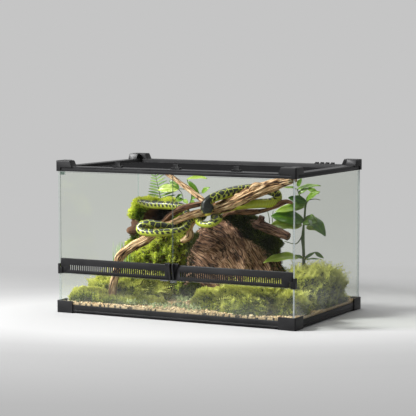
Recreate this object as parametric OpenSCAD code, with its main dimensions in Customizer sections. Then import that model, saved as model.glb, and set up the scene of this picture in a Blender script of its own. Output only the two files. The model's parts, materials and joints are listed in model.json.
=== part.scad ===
// Front-opening glass terrarium with a planted interior.
// X runs along the front, Y from the front to the back, Z up. The origin is on the table, under the middle.

/* [Tank] */
// Width over the rails
tank_w = 900; // [760:1:1100]
// Depth over the rails
tank_d = 555; // [470:1:680]
// Height of the top frame's upper face
frame_top = 507; // [430:1:620]

/* [Glass] */
// Thickness of the fixed panes
glass_t = 6; // [5:0.5:8]
// Thickness of the base panel
base_t = 6; // [4:0.5:8]
// Thickness of the door glass
door_t = 5; // [4:0.5:6]
// How far the glass lies behind the rails' outer faces
glass_inset = 2.5; // [2:0.25:3.5]

/* [Bottom frame] */
// Height of the bottom rails above the table
rail_lift = 5; // [4:0.5:8]
// Height of a bottom rail's outer wall
bottom_rail_h = 24; // [20:1:32]
// Width of a bottom rail, from its outer face inwards
bottom_rail_w = 28; // [22:1:36]
// Height of the ledge under the base panel
ledge_h = 9; // [8:0.5:14]
// Thickness of the bottom rail's floor under the glass
rail_floor = 3; // [2:0.5:4]

/* [Corner blocks] */
// Length of each arm, along the rail it covers
arm = 60; // [45:1:75]
// Thickness of the skin outside the rails
skin = 3; // [2.5:0.5:4]
// Radius of the upright outer edge
corner_r = 5; // [2:0.5:8]
// Height of a foot
foot_h = 42; // [36:1:55]
// Height of a stacking lug above the top rails
lug_h = 20; // [14:1:26]
// Width of a stacking lug
lug_w = 32; // [24:1:36]
// Run of a lug's sloping end
lug_slope = 9; // [4:1:14]
// Depth of the skirt that laps the top rails
skirt_h = 4; // [3:0.5:6]
// Width of the corner post under a lug
post_w = 18; // [14:1:24]

/* [Top frame] */
// Height of a top rail's outer face
top_rail_h = 17; // [15:0.5:24]
// Width of a top rail's flat top
top_rail_w = 38; // [36:1:46]
// Wall thickness of the top rails
rail_wall = 3; // [2.5:0.25:3.5]
// Width of the seat for the lid, inside the top rails
lid_seat = 12; // [10:1:16]
// Thickness of the front rail's lower bar, which holds the door pins
pin_bar = 7; // [6:0.5:9]

/* [Doors] */
// Height of the vent rail's lower edge
vent_z = 138; // [110:1:170]
// Height of a vent rail
vent_h = 51; // [46:1:60]
// Depth of a vent rail, front to back
vent_d = 11; // [10:0.5:12]
// Thickness of the vent rail's front wall
vent_wall = 2.5; // [2:0.25:3]
// How deep the door glass sits in its vent rail
glass_bite = 19; // [12:1:22]
// Width of the gap between the two panes of door glass
door_seam = 1.5; // [1:0.25:3]
// Width of the gap between the two vent rails
rail_gap = 7; // [5:0.5:10]
// Gap above and below a door
door_gap = 1.8; // [1:0.1:3]
// Distance from a door's pivot to the side pane
pivot_in = 6; // [5.8:0.1:8]
// Radius of a door pin
pin_r = 2; // [1.5:0.1:2.2]
// Radial clearance of a pin in its bore
pin_fit = 0.1; // [0.05:0.05:0.2]
// Length of a door pin in its bore
pin_l = 5; // [4:0.5:5.5]
// Number of slots in each vent rail
slots = 48; // [20:1:50]
// Width of a slot
slot_w = 3.6; // [2:0.2:4.4]
// Height of a slot
slot_h = 18; // [12:0.5:18]
// Spacing of the slots
slot_pitch = 7.8; // [6:0.1:8]
// Distance from the middle to the first slot
slot_start = 30; // [28:1:40]
// How far a finger pull stands out at its top
pull_out = 12; // [8:0.5:12.5]
// Thickness of a pull's finger fin
pull_fin = 6; // [4:0.5:8]
// Width of a pull's top flange
pull_w = 22; // [16:1:26]
// Height of a pull above its vent rail
pull_top = 6; // [4:0.5:8]

/* [Lid] */
// Width of the lid frame's border
lid_border = 10; // [8:0.5:12]
// Height of the lid frame
lid_h = 3.4; // [3:0.1:5]
// Thickness of the lid's mesh
mesh_t = 0.8; // [0.6:0.1:1]
// Gap between the top rails' inner walls and the lid frame
lid_room = 4; // [3.6:0.2:5]
// Length of a lid clip along the rail
clip_w = 33; // [24:1:40]
// Travel of a lid clip
clip_travel = 8; // [6:0.5:8]

/* [Cable inlets] */
// Spacing of the inlets
inlet_pitch = 20; // [18:0.5:26]
// Width of an inlet
inlet_w = 10; // [8:0.5:12]
// Travel of an inlet's gate
gate_travel = 10; // [8:0.5:10]

/* [Interior] */
// Depth of the gravel over the base panel
gravel_h = 16; // [10:1:30]
// Height of the front left moss bank
moss_left_h = 78; // [40:1:95]
// Height of the front right moss bank
moss_front_h = 92; // [50:1:110]
// Height of the moss bank along the right side
moss_right_h = 128; // [60:1:150]
// Height of the low moss bank in the middle
moss_middle_h = 60; // [30:1:90]
// Height of the mossy mound behind on the left
mound_h = 345; // [250:1:360]
// Height of the bark log
log_h = 300; // [220:1:320]
// Radius of the main branch at its thickest
branch_r = 21; // [16:0.5:26]
// Radius of the python's body at its thickest
python_r = 17; // [12:0.5:18]

/* [Hidden] */
$fn = 48;

charcoal = "#38383a";
clear_glass = [0.75, 0.85, 0.82, 0.3];
steel = "#b9bcc0";
moss_green = "#6f8a24";
leaf_green = "#5d9330";
bark_brown = "#7a5a45";
wood_tan = "#b98f68";
gravel_tan = "#dcbb8c";
flat = 0.3; // running gap between flat faces that move past each other
eps = 0.01; // overlap that makes a cut clean

// Bottom frame and glass
half_w = tank_w / 2;
half_d = tank_d / 2;
pane_x = half_w - glass_inset; // outer face of a side pane
pane_y = half_d - glass_inset; // outer face of the front and back panes
inner_x = pane_x - glass_t;
inner_y = pane_y - glass_t;
glass_foot = rail_lift + rail_floor; // lower edge of the fixed panes
base_z = rail_lift + ledge_h; // underside of the base panel
bed_z = base_z + base_t; // upper face of the base panel
bed_top = bed_z + gravel_h;
bottom_rail_top = rail_lift + bottom_rail_h;

// Top frame
frame_low = frame_top - top_rail_h; // lower edge of the top rails
plate_z = frame_top - rail_wall; // underside of the rails' top plate
pane_top = plate_z - 1;
lip_t = 2.5; // inner lip that holds the glass in its rail
seat_top = frame_low + rail_wall; // upper face of the lid's seat
groove_d = 0.8; // depth of the moulded line along a rail's face
groove_h = 1.4;

// Doors
vent_top = vent_z + vent_h;
vent_front = -(half_d - 0.5); // front face of the vent rails
vent_back = vent_front + vent_d;
door_front = vent_front + vent_wall; // outer face of the door glass
door_back = door_front + door_t;
door_low = vent_top - glass_bite; // lower edge of the door glass
door_high = frame_low - 2.5; // upper edge of the door glass
shoe_top = frame_low - 0.7;
slot_z = vent_z + 11; // lower end of the slots
slot_web = slot_z + slot_h; // underside of the web below the glass
pivot_x = inner_x - pivot_in;
pivot_y = (vent_front + vent_back) / 2;
knuckle_r = vent_d / 2;
glass_edge = inner_x - 1.2; // outer edge of the door glass
lower_pane_top = vent_z - door_gap;
bracket_top = door_low - 12; // upper face of a pivot bracket
hook_t = 2; // thickness of the bracket's hook round the side pane
hook_top = vent_z + 32;
hook_low = vent_z - 3;
notch_x = pivot_x - 8; // where the vent rail is cut back over the bracket
shoe_h = 10; // height of a top pivot shoe
catch_w = 24; // width of the door catch
catch_low = lower_pane_top - 8;
catch_t = 6;
lip_x = [-47, -16]; // ends of the catch's front lip
lip_fold = 3; // how far the front lip turns down

// Lid
seat_in = top_rail_w + lid_seat; // inner edge of the seat, from the rail's face
lid_out = top_rail_w + lid_room; // outer edge of the lid frame, from the rail's face
lid_z = seat_top + flat;
lid_top = lid_z + lid_h;
lid_x = half_w - lid_out;
lid_y = half_d - lid_out;
mesh_z = lid_z + (lid_h - mesh_t) / 2;
mesh_bite = 2; // how deep the mesh sits in the lid frame
clip_base_h = 5;
clip_base_d = 15;
clip_knob_w = 20;
clip_knob_d = 7;
clip_knob_h = 11;
clip_leg_t = lid_room - 2 * 0.5;
clip_back = top_rail_w - 17; // front edge of a clip's base, from the rail's face
stem_w = 3.4; // width of the guide stem under a clip or a gate
stem_d = 2.5;
guide_fit = 0.3; // side clearance of a guide stem
clip_stem = top_rail_w - 14.5; // stem's near side, from the rail's face
clip_spots = [-tank_w / 4, 0, tank_w / 4];

// Cable inlets
inlets = 4;
inlet_first = half_w - 101; // centre of the first inlet
inlet_near = glass_inset + glass_t + lip_t + 1.5; // inlet's outer end, from the rail's face
inlet_far = inlet_near + 12;
gate_near = inlet_near - 1.5;
gate_l = 14;
gate_t = 2;
gate_nub = 3.5;

// The planted interior is laid out for a tank of this size, and follows the real one. Plants on
// the mound or the log follow its height, and everything else the room's.
plan_x = 441.5;
plan_y = 269;
plan_z = 454; // from the gravel to the underside of the top frame
plan_low = 36; // top of the gravel
whole = [plan_z, frame_low - bed_top];
on_mound = [345, mound_h];
on_log = [300, log_h];
function lifted(rise, on) = rise <= on[0] ? bed_top + rise * on[1] / on[0]
  : frame_low - (plan_z - rise) * (frame_low - bed_top - on[1]) / (plan_z - on[0]);
function inside(p, on = whole) =
  [p.x * inner_x / plan_x, p.y * inner_y / plan_y, lifted(p.z - plan_low, on)];
function inside_all(points, on = whole) = [for (p = points) inside(p, on)];

// ---- helpers ----

// A mitred frame member along X: its outer face is at y = 0 and it grows to +Y.
module mitred(length, profile) {
  reach = 2 * seat_in;
  difference() {
    rotate([90, 0, 90]) translate([0, 0, -length / 2]) linear_extrude(length) polygon(profile);
    for (side = [-1, 1])
      translate([side * length / 2, 0, 0]) rotate([0, 0, side * 45])
        translate([side > 0 ? 0 : -reach, -reach, -eps])
          cube([reach, 3 * reach, frame_top + 1]);
  }
}

// Puts a member that was drawn along the front on one of the four sides.
module on_front() { translate([0, -half_d, 0]) children(); }
module on_back() { translate([0, half_d, 0]) rotate(180) children(); }
module on_left() { translate([-half_w, 0, 0]) rotate(-90) children(); }
module on_right() { translate([half_w, 0, 0]) rotate(90) children(); }

// Puts a block that was drawn at the front left corner on a corner.
module on_corner(right, back) {
  translate([(right ? 1 : -1) * (half_w + skin), (back ? 1 : -1) * (half_d + skin), 0])
    mirror([right ? 1 : 0, 0, 0]) mirror([0, back ? 1 : 0, 0]) children();
}

// An L in plan, from the corner along +X and +Y, with its outer corner rounded.
module corner_plan(reach, width) {
  difference() {
    union() {
      translate([corner_r, 0]) square([reach - corner_r, reach]);
      translate([0, corner_r]) square([reach, reach - corner_r]);
      translate([corner_r, corner_r]) circle(corner_r);
    }
    translate([width, width]) square(reach);
  }
}

module at_z(low, high) { translate([0, 0, low]) linear_extrude(high - low) children(); }

module block(low, high) { translate(low) cube(high - low); }

// ---- bottom frame ----

module foot() {
  reach = arm + skin;
  at_z(0, rail_lift) corner_plan(reach, skin + bottom_rail_w);
  at_z(rail_lift, bottom_rail_top) corner_plan(reach, skin);
  at_z(bottom_rail_top, foot_h) corner_plan(reach, skin + glass_inset);
}

bottom_profile = [[0, rail_lift], [bottom_rail_w, rail_lift], [bottom_rail_w, base_z],
  [glass_inset + glass_t, base_z], [glass_inset + glass_t, glass_foot], [glass_inset, glass_foot],
  [glass_inset, bottom_rail_top], [0, bottom_rail_top],
  [0, rail_lift + 6 + groove_h], [groove_d, rail_lift + 6 + groove_h],
  [groove_d, rail_lift + 6], [0, rail_lift + 6]];

module foot_front_left() { color(charcoal) on_corner(false, false) foot(); }
module foot_front_right() { color(charcoal) on_corner(true, false) foot(); }
module foot_back_left() { color(charcoal) on_corner(false, true) foot(); }
module foot_back_right() { color(charcoal) on_corner(true, true) foot(); }

module bottom_rail_front() { color(charcoal) on_front() mitred(tank_w, bottom_profile); }
module bottom_rail_back() { color(charcoal) on_back() mitred(tank_w, bottom_profile); }
module bottom_rail_left() { color(charcoal) on_left() mitred(tank_d, bottom_profile); }
module bottom_rail_right() { color(charcoal) on_right() mitred(tank_d, bottom_profile); }

// ---- fixed glass ----

module base_panel() {
  color(clear_glass) block([-inner_x, -inner_y, base_z], [inner_x, inner_y, bed_z]);
}
module back_pane() {
  color(clear_glass) block([-inner_x, inner_y, glass_foot], [inner_x, pane_y, pane_top]);
}
module left_pane() {
  color(clear_glass) block([-pane_x, -pane_y, glass_foot], [-inner_x, pane_y, pane_top]);
}
module right_pane() {
  color(clear_glass) block([inner_x, -pane_y, glass_foot], [pane_x, pane_y, pane_top]);
}
module lower_front_pane() {
  color(clear_glass) block([-inner_x, -pane_y, glass_foot], [inner_x, -inner_y, lower_pane_top]);
}

// Beads that seal the upright glass joints, drawn as small triangular fillets.
module silicone_seams() {
  leg = 4;
  color(clear_glass) for (side = [-1, 1]) {
    translate([side * inner_x, inner_y, bed_top])
      linear_extrude(frame_low - bed_top)
        polygon([[0, 0], [-side * leg, 0], [0, -leg]]);
    translate([side * inner_x, -inner_y, bed_top])
      linear_extrude(catch_low - bed_top)
        polygon([[0, 0], [-side * leg, 0], [0, leg]]);
  }
}

// ---- door brackets and catch ----

module mirrored(left) { mirror([left ? 1 : 0, 0, 0]) children(); }

// Wraps the side pane's front edge and carries the door's lower pin.
module pivot_bracket() {
  translate([pivot_x, pivot_y, lower_pane_top])
    cylinder(h = bracket_top - lower_pane_top, r = knuckle_r);
  block([pivot_x, vent_front, lower_pane_top], [inner_x, vent_back, bracket_top]);
  block([inner_x - 1, vent_front, lower_pane_top], [pane_x + hook_t, -pane_y, bracket_top]);
  block([inner_x, vent_front, hook_low], [pane_x + hook_t, -pane_y, hook_top]);
  block([pane_x, vent_front, hook_low], [pane_x + hook_t, -pane_y + 14, hook_top]);
  translate([pivot_x, pivot_y, bracket_top]) cylinder(h = flat + pin_l, r = pin_r);
}
module pivot_bracket_left() { color("#1b1b1c") mirrored(true) pivot_bracket(); }
module pivot_bracket_right() { color("#1b1b1c") mirrored(false) pivot_bracket(); }

// Stops both doors behind the gap between their rails, and clips over the lower pane's edge.
module door_catch() {
  half = catch_w / 2;
  back = -inner_y + catch_t;
  sheet = 1;
  color(steel) {
    block([-half, -inner_y, catch_low], [half, back, lower_pane_top]);
    block([-half, vent_back + flat, lower_pane_top - eps], [half, back, vent_z + 20]);
    block([lip_x[0], -pane_y - sheet, lower_pane_top], [lip_x[1], -inner_y + 1, lower_pane_top + sheet]);
    block([lip_x[0], -pane_y - sheet, lower_pane_top - lip_fold],
      [lip_x[1], -pane_y, lower_pane_top + sheet]);
    block([lip_x[0], -inner_y, lower_pane_top - eps], [half, vent_back + 2, lower_pane_top + sheet]);
  }
}

// ---- doors, drawn on the right and mirrored for the left ----

module door_glass() {
  block([door_seam / 2, door_front, door_low], [glass_edge, door_back, door_high]);
}

vent_profile = [[vent_front, vent_z], [vent_back, vent_z], [vent_back, slot_z],
  [door_front, slot_z], [door_front, slot_web], [vent_back, slot_web], [vent_back, vent_top],
  [door_back, vent_top], [door_back, door_low], [door_front, door_low], [door_front, vent_top],
  [vent_front + 1, vent_top], [vent_front, vent_top - 1]];

module vent_rail() {
  knuckle_low = bracket_top + flat;
  difference() {
    union() {
      translate([rail_gap / 2, 0, 0]) rotate([90, 0, 90])
        linear_extrude(pivot_x - rail_gap / 2) polygon(vent_profile);
      block([notch_x - 3, vent_front, knuckle_low], [pivot_x, vent_back, slot_web + eps]);
      translate([pivot_x, pivot_y, knuckle_low]) cylinder(h = vent_top - knuckle_low, r = knuckle_r);
      block([notch_x - 3, vent_front, vent_z], [notch_x, vent_back, knuckle_low + eps]);
    }
    block([notch_x, vent_front - 1, vent_z - 1], [inner_x, vent_back + 1, knuckle_low]);
    block([rail_gap / 2 - 1, door_front, door_low], [inner_x, door_back, vent_top + 1]);
    translate([pivot_x, pivot_y, knuckle_low - 1]) cylinder(h = pin_l + 2, r = pin_r + pin_fit);
    for (i = [0:slots - 1])
      block([slot_start + i * slot_pitch, vent_front - 1, slot_z],
        [slot_start + i * slot_pitch + slot_w, door_front + 1, slot_web]);
  }
}

// A finger fin at the rail's inner end, with a flange over the rail and a web in their corner.
module door_pull() {
  near = rail_gap / 2;
  top = vent_top + pull_top;
  tip = vent_front - pull_out;
  translate([near, 0, 0]) rotate([90, 0, 90]) linear_extrude(pull_fin)
    polygon([[vent_front, vent_z], [vent_front - 4, vent_z], [tip, vent_top - 8], [tip, top - 2],
      [tip + 2, top], [door_front, top], [door_front, vent_top], [vent_front, vent_top]]);
  block([near, vent_front - 5, vent_top], [near + pull_w, door_front, top]);
  translate([0, vent_front, 0]) rotate([90, 0, 0]) linear_extrude(2.5)
    polygon([[near + pull_fin - eps, vent_top + eps], [near + pull_w, vent_top + eps],
      [near + pull_fin - eps, vent_top - 24]]);
}

// Clasps the glass's upper outer corner and pins it to the top frame.
module pivot_shoe() {
  low = door_high - shoe_h;
  difference() {
    union() {
      block([pivot_x - 12, vent_front, low], [pivot_x, vent_back, shoe_top]);
      translate([pivot_x, pivot_y, low]) cylinder(h = shoe_top - low, r = knuckle_r);
    }
    block([pivot_x - 13, door_front, low - 1], [inner_x, door_back, door_high]);
  }
  translate([pivot_x, pivot_y, shoe_top - eps])
    cylinder(h = frame_low + pin_l - shoe_top + eps, r = pin_r);
}

module left_door_glass() { color(clear_glass) mirrored(true) door_glass(); }
module left_vent_rail() { color(charcoal) mirrored(true) vent_rail(); }
module left_door_pull() { color(charcoal) mirrored(true) door_pull(); }
module left_pivot_shoe() { color(clear_glass) mirrored(true) pivot_shoe(); }
module right_door_glass() { color(clear_glass) door_glass(); }
module right_vent_rail() { color(charcoal) vent_rail(); }
module right_door_pull() { color(charcoal) door_pull(); }
module right_pivot_shoe() { color(clear_glass) pivot_shoe(); }

// ---- top frame ----

glass_side = glass_inset + glass_t;
rail_line = frame_low + 11; // moulded line along a top rail's face
top_inner = [[top_rail_w - rail_wall, plate_z], [top_rail_w - rail_wall, frame_low],
  [seat_in, frame_low], [seat_in, seat_top], [top_rail_w, seat_top], [top_rail_w, frame_top],
  [1.5, frame_top], [0, frame_top - 1.5], [0, rail_line + groove_h],
  [groove_d, rail_line + groove_h], [groove_d, rail_line], [0, rail_line]];
top_profile = concat([[0, frame_low], [glass_inset, frame_low], [glass_inset, plate_z],
  [glass_side, plate_z], [glass_side, frame_low + 2], [glass_side + lip_t, frame_low + 2],
  [glass_side + lip_t, plate_z]], top_inner);
front_profile = concat([[0, frame_low], [12, frame_low], [12, frame_low + pin_bar],
  [glass_inset, frame_low + pin_bar], [glass_inset, plate_z]], top_inner);

module top_rail_front() {
  guide = stem_w / 2 + guide_fit;
  color(charcoal) difference() {
    on_front() mitred(tank_w, front_profile);
    for (side = [-1, 1]) {
      translate([side * pivot_x, pivot_y, frame_low - 1])
        cylinder(h = pin_l + 1.5, r = pin_r + pin_fit);
      translate([side * (inner_x + glass_t / 2), -half_d, frame_low - 1])
        translate([-glass_t / 2, glass_inset, 0]) cube([glass_t, 2 * glass_t, plate_z - frame_low + 1]);
    }
    for (x = clip_spots)
      block([x - guide, -half_d + clip_stem - guide_fit, plate_z - 1],
        [x + guide, -half_d + clip_stem + stem_d + clip_travel + guide_fit, frame_top + 1]);
  }
}

function inlet_x(i) = inlet_first - i * inlet_pitch;

module top_rail_back() {
  guide = stem_w / 2 + guide_fit;
  color(charcoal) difference() {
    on_back() mitred(tank_w, top_profile);
    for (i = [0:inlets - 1]) {
      block([inlet_x(i) - inlet_w / 2, half_d - inlet_far, plate_z - 1],
        [inlet_x(i) + inlet_w / 2, half_d - inlet_near, frame_top + 1]);
      block([inlet_x(i) - guide, half_d - inlet_far - gate_travel + guide_fit, plate_z - 1],
        [inlet_x(i) + guide, half_d - inlet_far + 1, frame_top + 1]);
    }
  }
}
module top_rail_left() { color(charcoal) on_left() mitred(tank_d, top_profile); }
module top_rail_right() { color(charcoal) on_right() mitred(tank_d, top_profile); }

// One arm of a stacking lug: a sloping end along its length and bevelled long edges.
module lug_arm() {
  reach = arm + skin;
  width = skin + lug_w;
  bevel = 2.5;
  intersection() {
    rotate([90, 0, 0]) translate([0, 0, -width]) linear_extrude(width)
      polygon([[0, 0], [reach, 0], [reach - lug_slope, lug_h], [bevel, lug_h], [0, lug_h - bevel]]);
    rotate([90, 0, 90]) linear_extrude(reach)
      polygon([[0, 0], [width, 0], [width, lug_h - bevel], [width - bevel, lug_h],
        [bevel, lug_h], [0, lug_h - bevel]]);
  }
}

module top_corner() {
  reach = arm + skin;
  translate([0, 0, frame_top]) intersection() {
    union() {
      lug_arm();
      mirror([1, -1, 0]) lug_arm();
    }
    linear_extrude(lug_h) corner_plan(reach, skin + lug_w);
  }
  at_z(frame_top - skirt_h, frame_top) corner_plan(reach, skin);
  at_z(frame_low, frame_top) corner_plan(post_w, skin);
}
module top_corner_front_left() { color(charcoal) on_corner(false, false) top_corner(); }
module top_corner_front_right() { color(charcoal) on_corner(true, false) top_corner(); }
module top_corner_back_left() { color(charcoal) on_corner(false, true) top_corner(); }
module top_corner_back_right() { color(charcoal) on_corner(true, true) top_corner(); }

// ---- lid ----

module mesh_sheet() {
  x = lid_x - lid_border + mesh_bite;
  y = lid_y - lid_border + mesh_bite;
  block([-x, -y, mesh_z], [x, y, mesh_z + mesh_t]);
}

module lid_frame() {
  x = lid_x - lid_border;
  y = lid_y - lid_border;
  color("#2a2a2b") difference() {
    block([-lid_x, -lid_y, lid_z], [lid_x, lid_y, lid_top]);
    block([-x, -y, lid_z - 1], [x, y, lid_top + 1]);
    mesh_sheet();
  }
}
module lid_mesh() { color("#6b6b6b") mesh_sheet(); }

// A slide on the front rail, with a leg that moves over the lid frame.
module lid_clip(x) {
  low = frame_top + flat;
  near = -half_d + clip_back;
  leg = -half_d + top_rail_w + 0.5;
  base_top = low + clip_base_h;
  stem = -half_d + clip_stem;
  color("#1e1e1f") {
    block([x - clip_w / 2, near, low], [x + clip_w / 2, leg, base_top]);
    block([x - clip_knob_w / 2, leg - eps, lid_top + 0.4],
      [x + clip_knob_w / 2, leg + clip_leg_t, base_top]);
    block([x - clip_knob_w / 2, near + 4, base_top - eps],
      [x + clip_knob_w / 2, near + 4 + clip_knob_d, base_top + clip_knob_h]);
    block([x - stem_w / 2, stem, plate_z - 2], [x + stem_w / 2, stem + stem_d, low + eps]);
    block([x - stem_w, stem, plate_z - 2], [x + stem_w, stem + stem_d, plate_z - flat]);
  }
}
module lid_clip_left() { lid_clip(clip_spots[0]); }
module lid_clip_middle() { lid_clip(clip_spots[1]); }
module lid_clip_right() { lid_clip(clip_spots[2]); }

// ---- cable inlet gates ----

module cable_gate(i) {
  x = inlet_x(i);
  low = frame_top + flat;
  half = inlet_w / 2 + 1.5;
  outer = half_d - gate_near;
  stem = half_d - inlet_far + 0.5;
  color("#1e1e1f") {
    block([x - half, outer - gate_l, low], [x + half, outer, low + gate_t]);
    block([x - half, outer - 5, low + gate_t - eps], [x + half, outer, low + gate_t + gate_nub]);
    block([x - stem_w / 2, stem, plate_z - 2], [x + stem_w / 2, stem + stem_d, low + eps]);
    block([x - stem_w, stem, plate_z - 2], [x + stem_w, stem + stem_d, plate_z - flat]);
  }
}
module cable_gate_1() { cable_gate(0); }
module cable_gate_2() { cable_gate(1); }
module cable_gate_3() { cable_gate(2); }
module cable_gate_4() { cable_gate(3); }

// ---- planted interior ----

module gravel_bed() {
  color(gravel_tan) block([-inner_x, -inner_y, bed_z], [inner_x, inner_y, bed_top]);
}

function unit(v) = v / norm(v);

// A smooth curve through the points: each stretch gets this many steps.
function along(p, i, t) = let (n = len(p) - 1, a = p[max(i - 1, 0)], b = p[i], c = p[i + 1],
    d = p[min(i + 2, n)])
  0.5 * (2 * b + (c - a) * t + (2 * a - 5 * b + 4 * c - d) * t * t
    + (3 * b - a - 3 * c + d) * t * t * t);
function smooth(p, steps) = concat(
  [for (i = [0:len(p) - 2]) for (k = [0:steps - 1]) along(p, i, k / steps)], [p[len(p) - 1]]);

function heading(path, i) = let (n = len(path) - 1)
  unit(path[min(i + 1, n)] - path[max(i - 1, 0)]);
function square_to(v, t) = unit(v - (v * t) * t);
function across(t) = square_to(abs(t.z) < 0.8 ? [0, 0, 1] : [0, 1, 0], t);
// One direction square to the path for each point, turned as little as possible from the last one.
function carried(path) = let (last = len(path) - 1)
  [for (i = 0, v = across(heading(path, 0)); i <= last;
    v = square_to(v, heading(path, min(i + 1, last))), i = i + 1) v];

// A closed round tube along a path, with one radius for each point.
module tube(path, radii, sides) {
  n = len(path);
  normals = carried(path);
  points = [for (i = [0:n - 1]) let (t = heading(path, i), u = normals[i], w = cross(t, u))
    for (k = [0:sides - 1]) let (a = 360 * k / sides)
      path[i] + radii[i] * (cos(a) * u + sin(a) * w)];
  walls = [for (i = [0:n - 2]) for (k = [0:sides - 1])
    let (a = i * sides + k, b = i * sides + (k + 1) % sides)
      for (f = [[a, b + sides, b], [a, a + sides, b + sides]]) f];
  polyhedron(points, concat([[for (k = [0:sides - 1]) k]], walls,
    [[for (k = [sides - 1:-1:0]) (n - 1) * sides + k]]));
}

// Radii from a short list, spread evenly over the path.
function spread(radii, n) = [for (i = [0:n - 1]) let (s = i * (len(radii) - 1) / (n - 1),
    k = min(floor(s), len(radii) - 2)) radii[k] + (radii[k + 1] - radii[k]) * (s - k)];

module limb(points, radii, steps = 4, sides = 10, on = whole) {
  path = smooth(inside_all(points, on), steps);
  tube(path, spread(radii, len(path)), sides);
}

// How far along a direction a hill may reach before it comes near the panes.
pane_gap = 5;
function reach_to(from, way, wall) = abs(way) < 0.001 ? tank_w
  : ((way > 0 ? wall - from : wall + from) - pane_gap) / abs(way);

// A low hill on the gravel: each ring is a wavy oval, and the rings shrink towards the top.
module hill(centre, size, bulge = 0.8, waves = 0.07, turn = 0) {
  sides = 26;
  rings = 7;
  c = inside(centre);
  points = concat(
    [for (k = [0:rings - 1]) let (e = 90 * k / rings, shrink = pow(cos(e), bulge))
      for (j = [0:sides - 1]) let (a = 360 * j / sides,
          wave = 1 - waves + waves * (0.6 * sin(3 * a + turn) + 0.4 * sin(5 * a + 2 * turn)),
          dx = size.x * cos(a), dy = size.y * sin(a),
          out = min(wave * shrink, reach_to(c.x, dx, inner_x), reach_to(c.y, dy, inner_y)))
        [c.x + dx * out, c.y + dy * out, bed_top + size.z * sin(e)]],
    [[c.x, c.y, bed_top + size.z]]);
  top = rings * sides;
  polyhedron(points, concat([[for (j = [0:sides - 1]) j]],
    [for (k = [0:rings - 2]) for (j = [0:sides - 1])
      let (a = k * sides + j, b = k * sides + (j + 1) % sides)
        for (f = [[a, b + sides, b], [a, a + sides, b + sides]]) f],
    [for (j = [0:sides - 1]) let (a = top - sides + j, b = top - sides + (j + 1) % sides)
      [a, top, b]]));
}

// The bank behind, and a low apron of moss that runs out to the lower front pane.
module moss_front_left() {
  color(moss_green) {
    hill([-268, -93, plan_low], [165, 88, moss_left_h]);
    hill([-262, -165, plan_low], [176, 76, moss_left_h / 4], turn = 40);
  }
}
module moss_front_right() {
  color(moss_green) hill([262, -150, plan_low], [178, 115, moss_front_h], turn = 70);
}
module moss_middle() {
  color("#46611d") hill([-48, 4, plan_low], [80, 44, moss_middle_h], turn = 30);
}
module moss_right() {
  color(moss_green) hill([345, 80, plan_low], [130, 185, moss_right_h], turn = 120);
}
module mossy_mound() {
  color("#5c7420") hill([-240, 75, plan_low], [146, 96, mound_h], bulge = 0.32, waves = 0.06, turn = 200);
}
module bark_log() {
  color(bark_brown) hill([50, 62, plan_low], [226, 88, log_h], bulge = 1, waves = 0.06, turn = 20);
}

// Moss on the log's crown and right flank.
module log_moss() {
  points = [[40, 62, 318], [88, 60, 312], [138, 58, 284], [188, 60, 250], [228, 70, 216]];
  color("#4b5f1a") limb(points, [16, 28, 38, 36, 20], sides = 12, on = on_log);
}
// A broken root with a stub on its back.
module log_root() {
  points = [[126, 42, 310], [169, 34, 304], [210, 28, 294], [258, 22, 281], [292, 18, 270]];
  stub = [[169, 34, 302], [180, 32, 322], [185, 31, 335]];
  color("#5a4436") {
    limb(points, [14, 18, 17, 15, 12], on = on_log);
    limb(stub, [14, 13, 10], on = on_log);
  }
}

main_points = [[-288, -186, 40], [-282, -184, 98], [-268, -182, 153], [-257, -176, 196],
  [-221, -160, 227], [-177, -146, 252], [-128, -130, 288], [-85, -116, 314], [-27, -98, 339],
  [32, -84, 356], [99, -72, 378], [148, -64, 400], [192, -56, 422], [252, -46, 445],
  [306, -38, 462], [342, -34, 472]];
main_radii = [13, 13, 15, 19, 19.5, 19, 15, 11.5, 11.5, 13, 19, 20.5, 21, 18, 15, 12];
module main_branch() {
  color(wood_tan) limb(main_points, main_radii * branch_r / 21, steps = 3, sides = 12);
}
module branch_fork() {
  points = [[-140, -128, 297], [-116, -106, 323], [-84, -92, 350], [-52, -86, 364],
    [-20, -80, 374], [24, -74, 381], [54, -72, 380]];
  color("#8f6a4c") limb(points, [6, 9, 10.5, 9, 8, 8, 7], steps = 3);
}
module upper_branch() {
  points = [[-164, -26, 480], [-145, -30, 471], [-70, -45, 431], [-8, -58, 396], [20, -66, 382]];
  color(wood_tan) limb(points, [7, 8, 8.5, 8, 8]);
}
module side_branch() {
  points = [[32, 44, 328], [66, 24, 345], [111, 10, 348], [159, 6, 351], [207, 2, 358],
    [254, -2, 376], [289, -6, 392], [316, -8, 390]];
  color("#6b4a2e") limb(points, [10, 9.5, 9, 9, 9, 8.5, 8, 5], steps = 3, on = on_log);
}

// A leaf from its base to its tip: a thin lens, as wide as given in the middle, that faces the
// front of the tank.
facing = [0.3, -0.7, 0.5];
module leaf(base, tip, width, lean = facing, on = whole) {
  a = inside(base, on);
  b = inside(tip, on);
  side = unit(cross(b - a, lean)) * width / 2;
  middle = a + (b - a) * 0.42;
  hull() for (q = [[a, 0.7], [b, 0.5], [middle + side, 0.6], [middle - side, 0.6],
    [middle + 0.06 * norm(b - a) * unit(lean), 0.8]])
    translate(q[0]) sphere(q[1], $fn = 6);
}
// A stem of short straight pieces with round joints.
module stem(points, r, on = whole) {
  path = inside_all(points, on);
  for (i = [0:len(path) - 2]) hull() for (q = [path[i], path[i + 1]])
    translate(q) sphere(r, $fn = 6);
}

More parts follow.
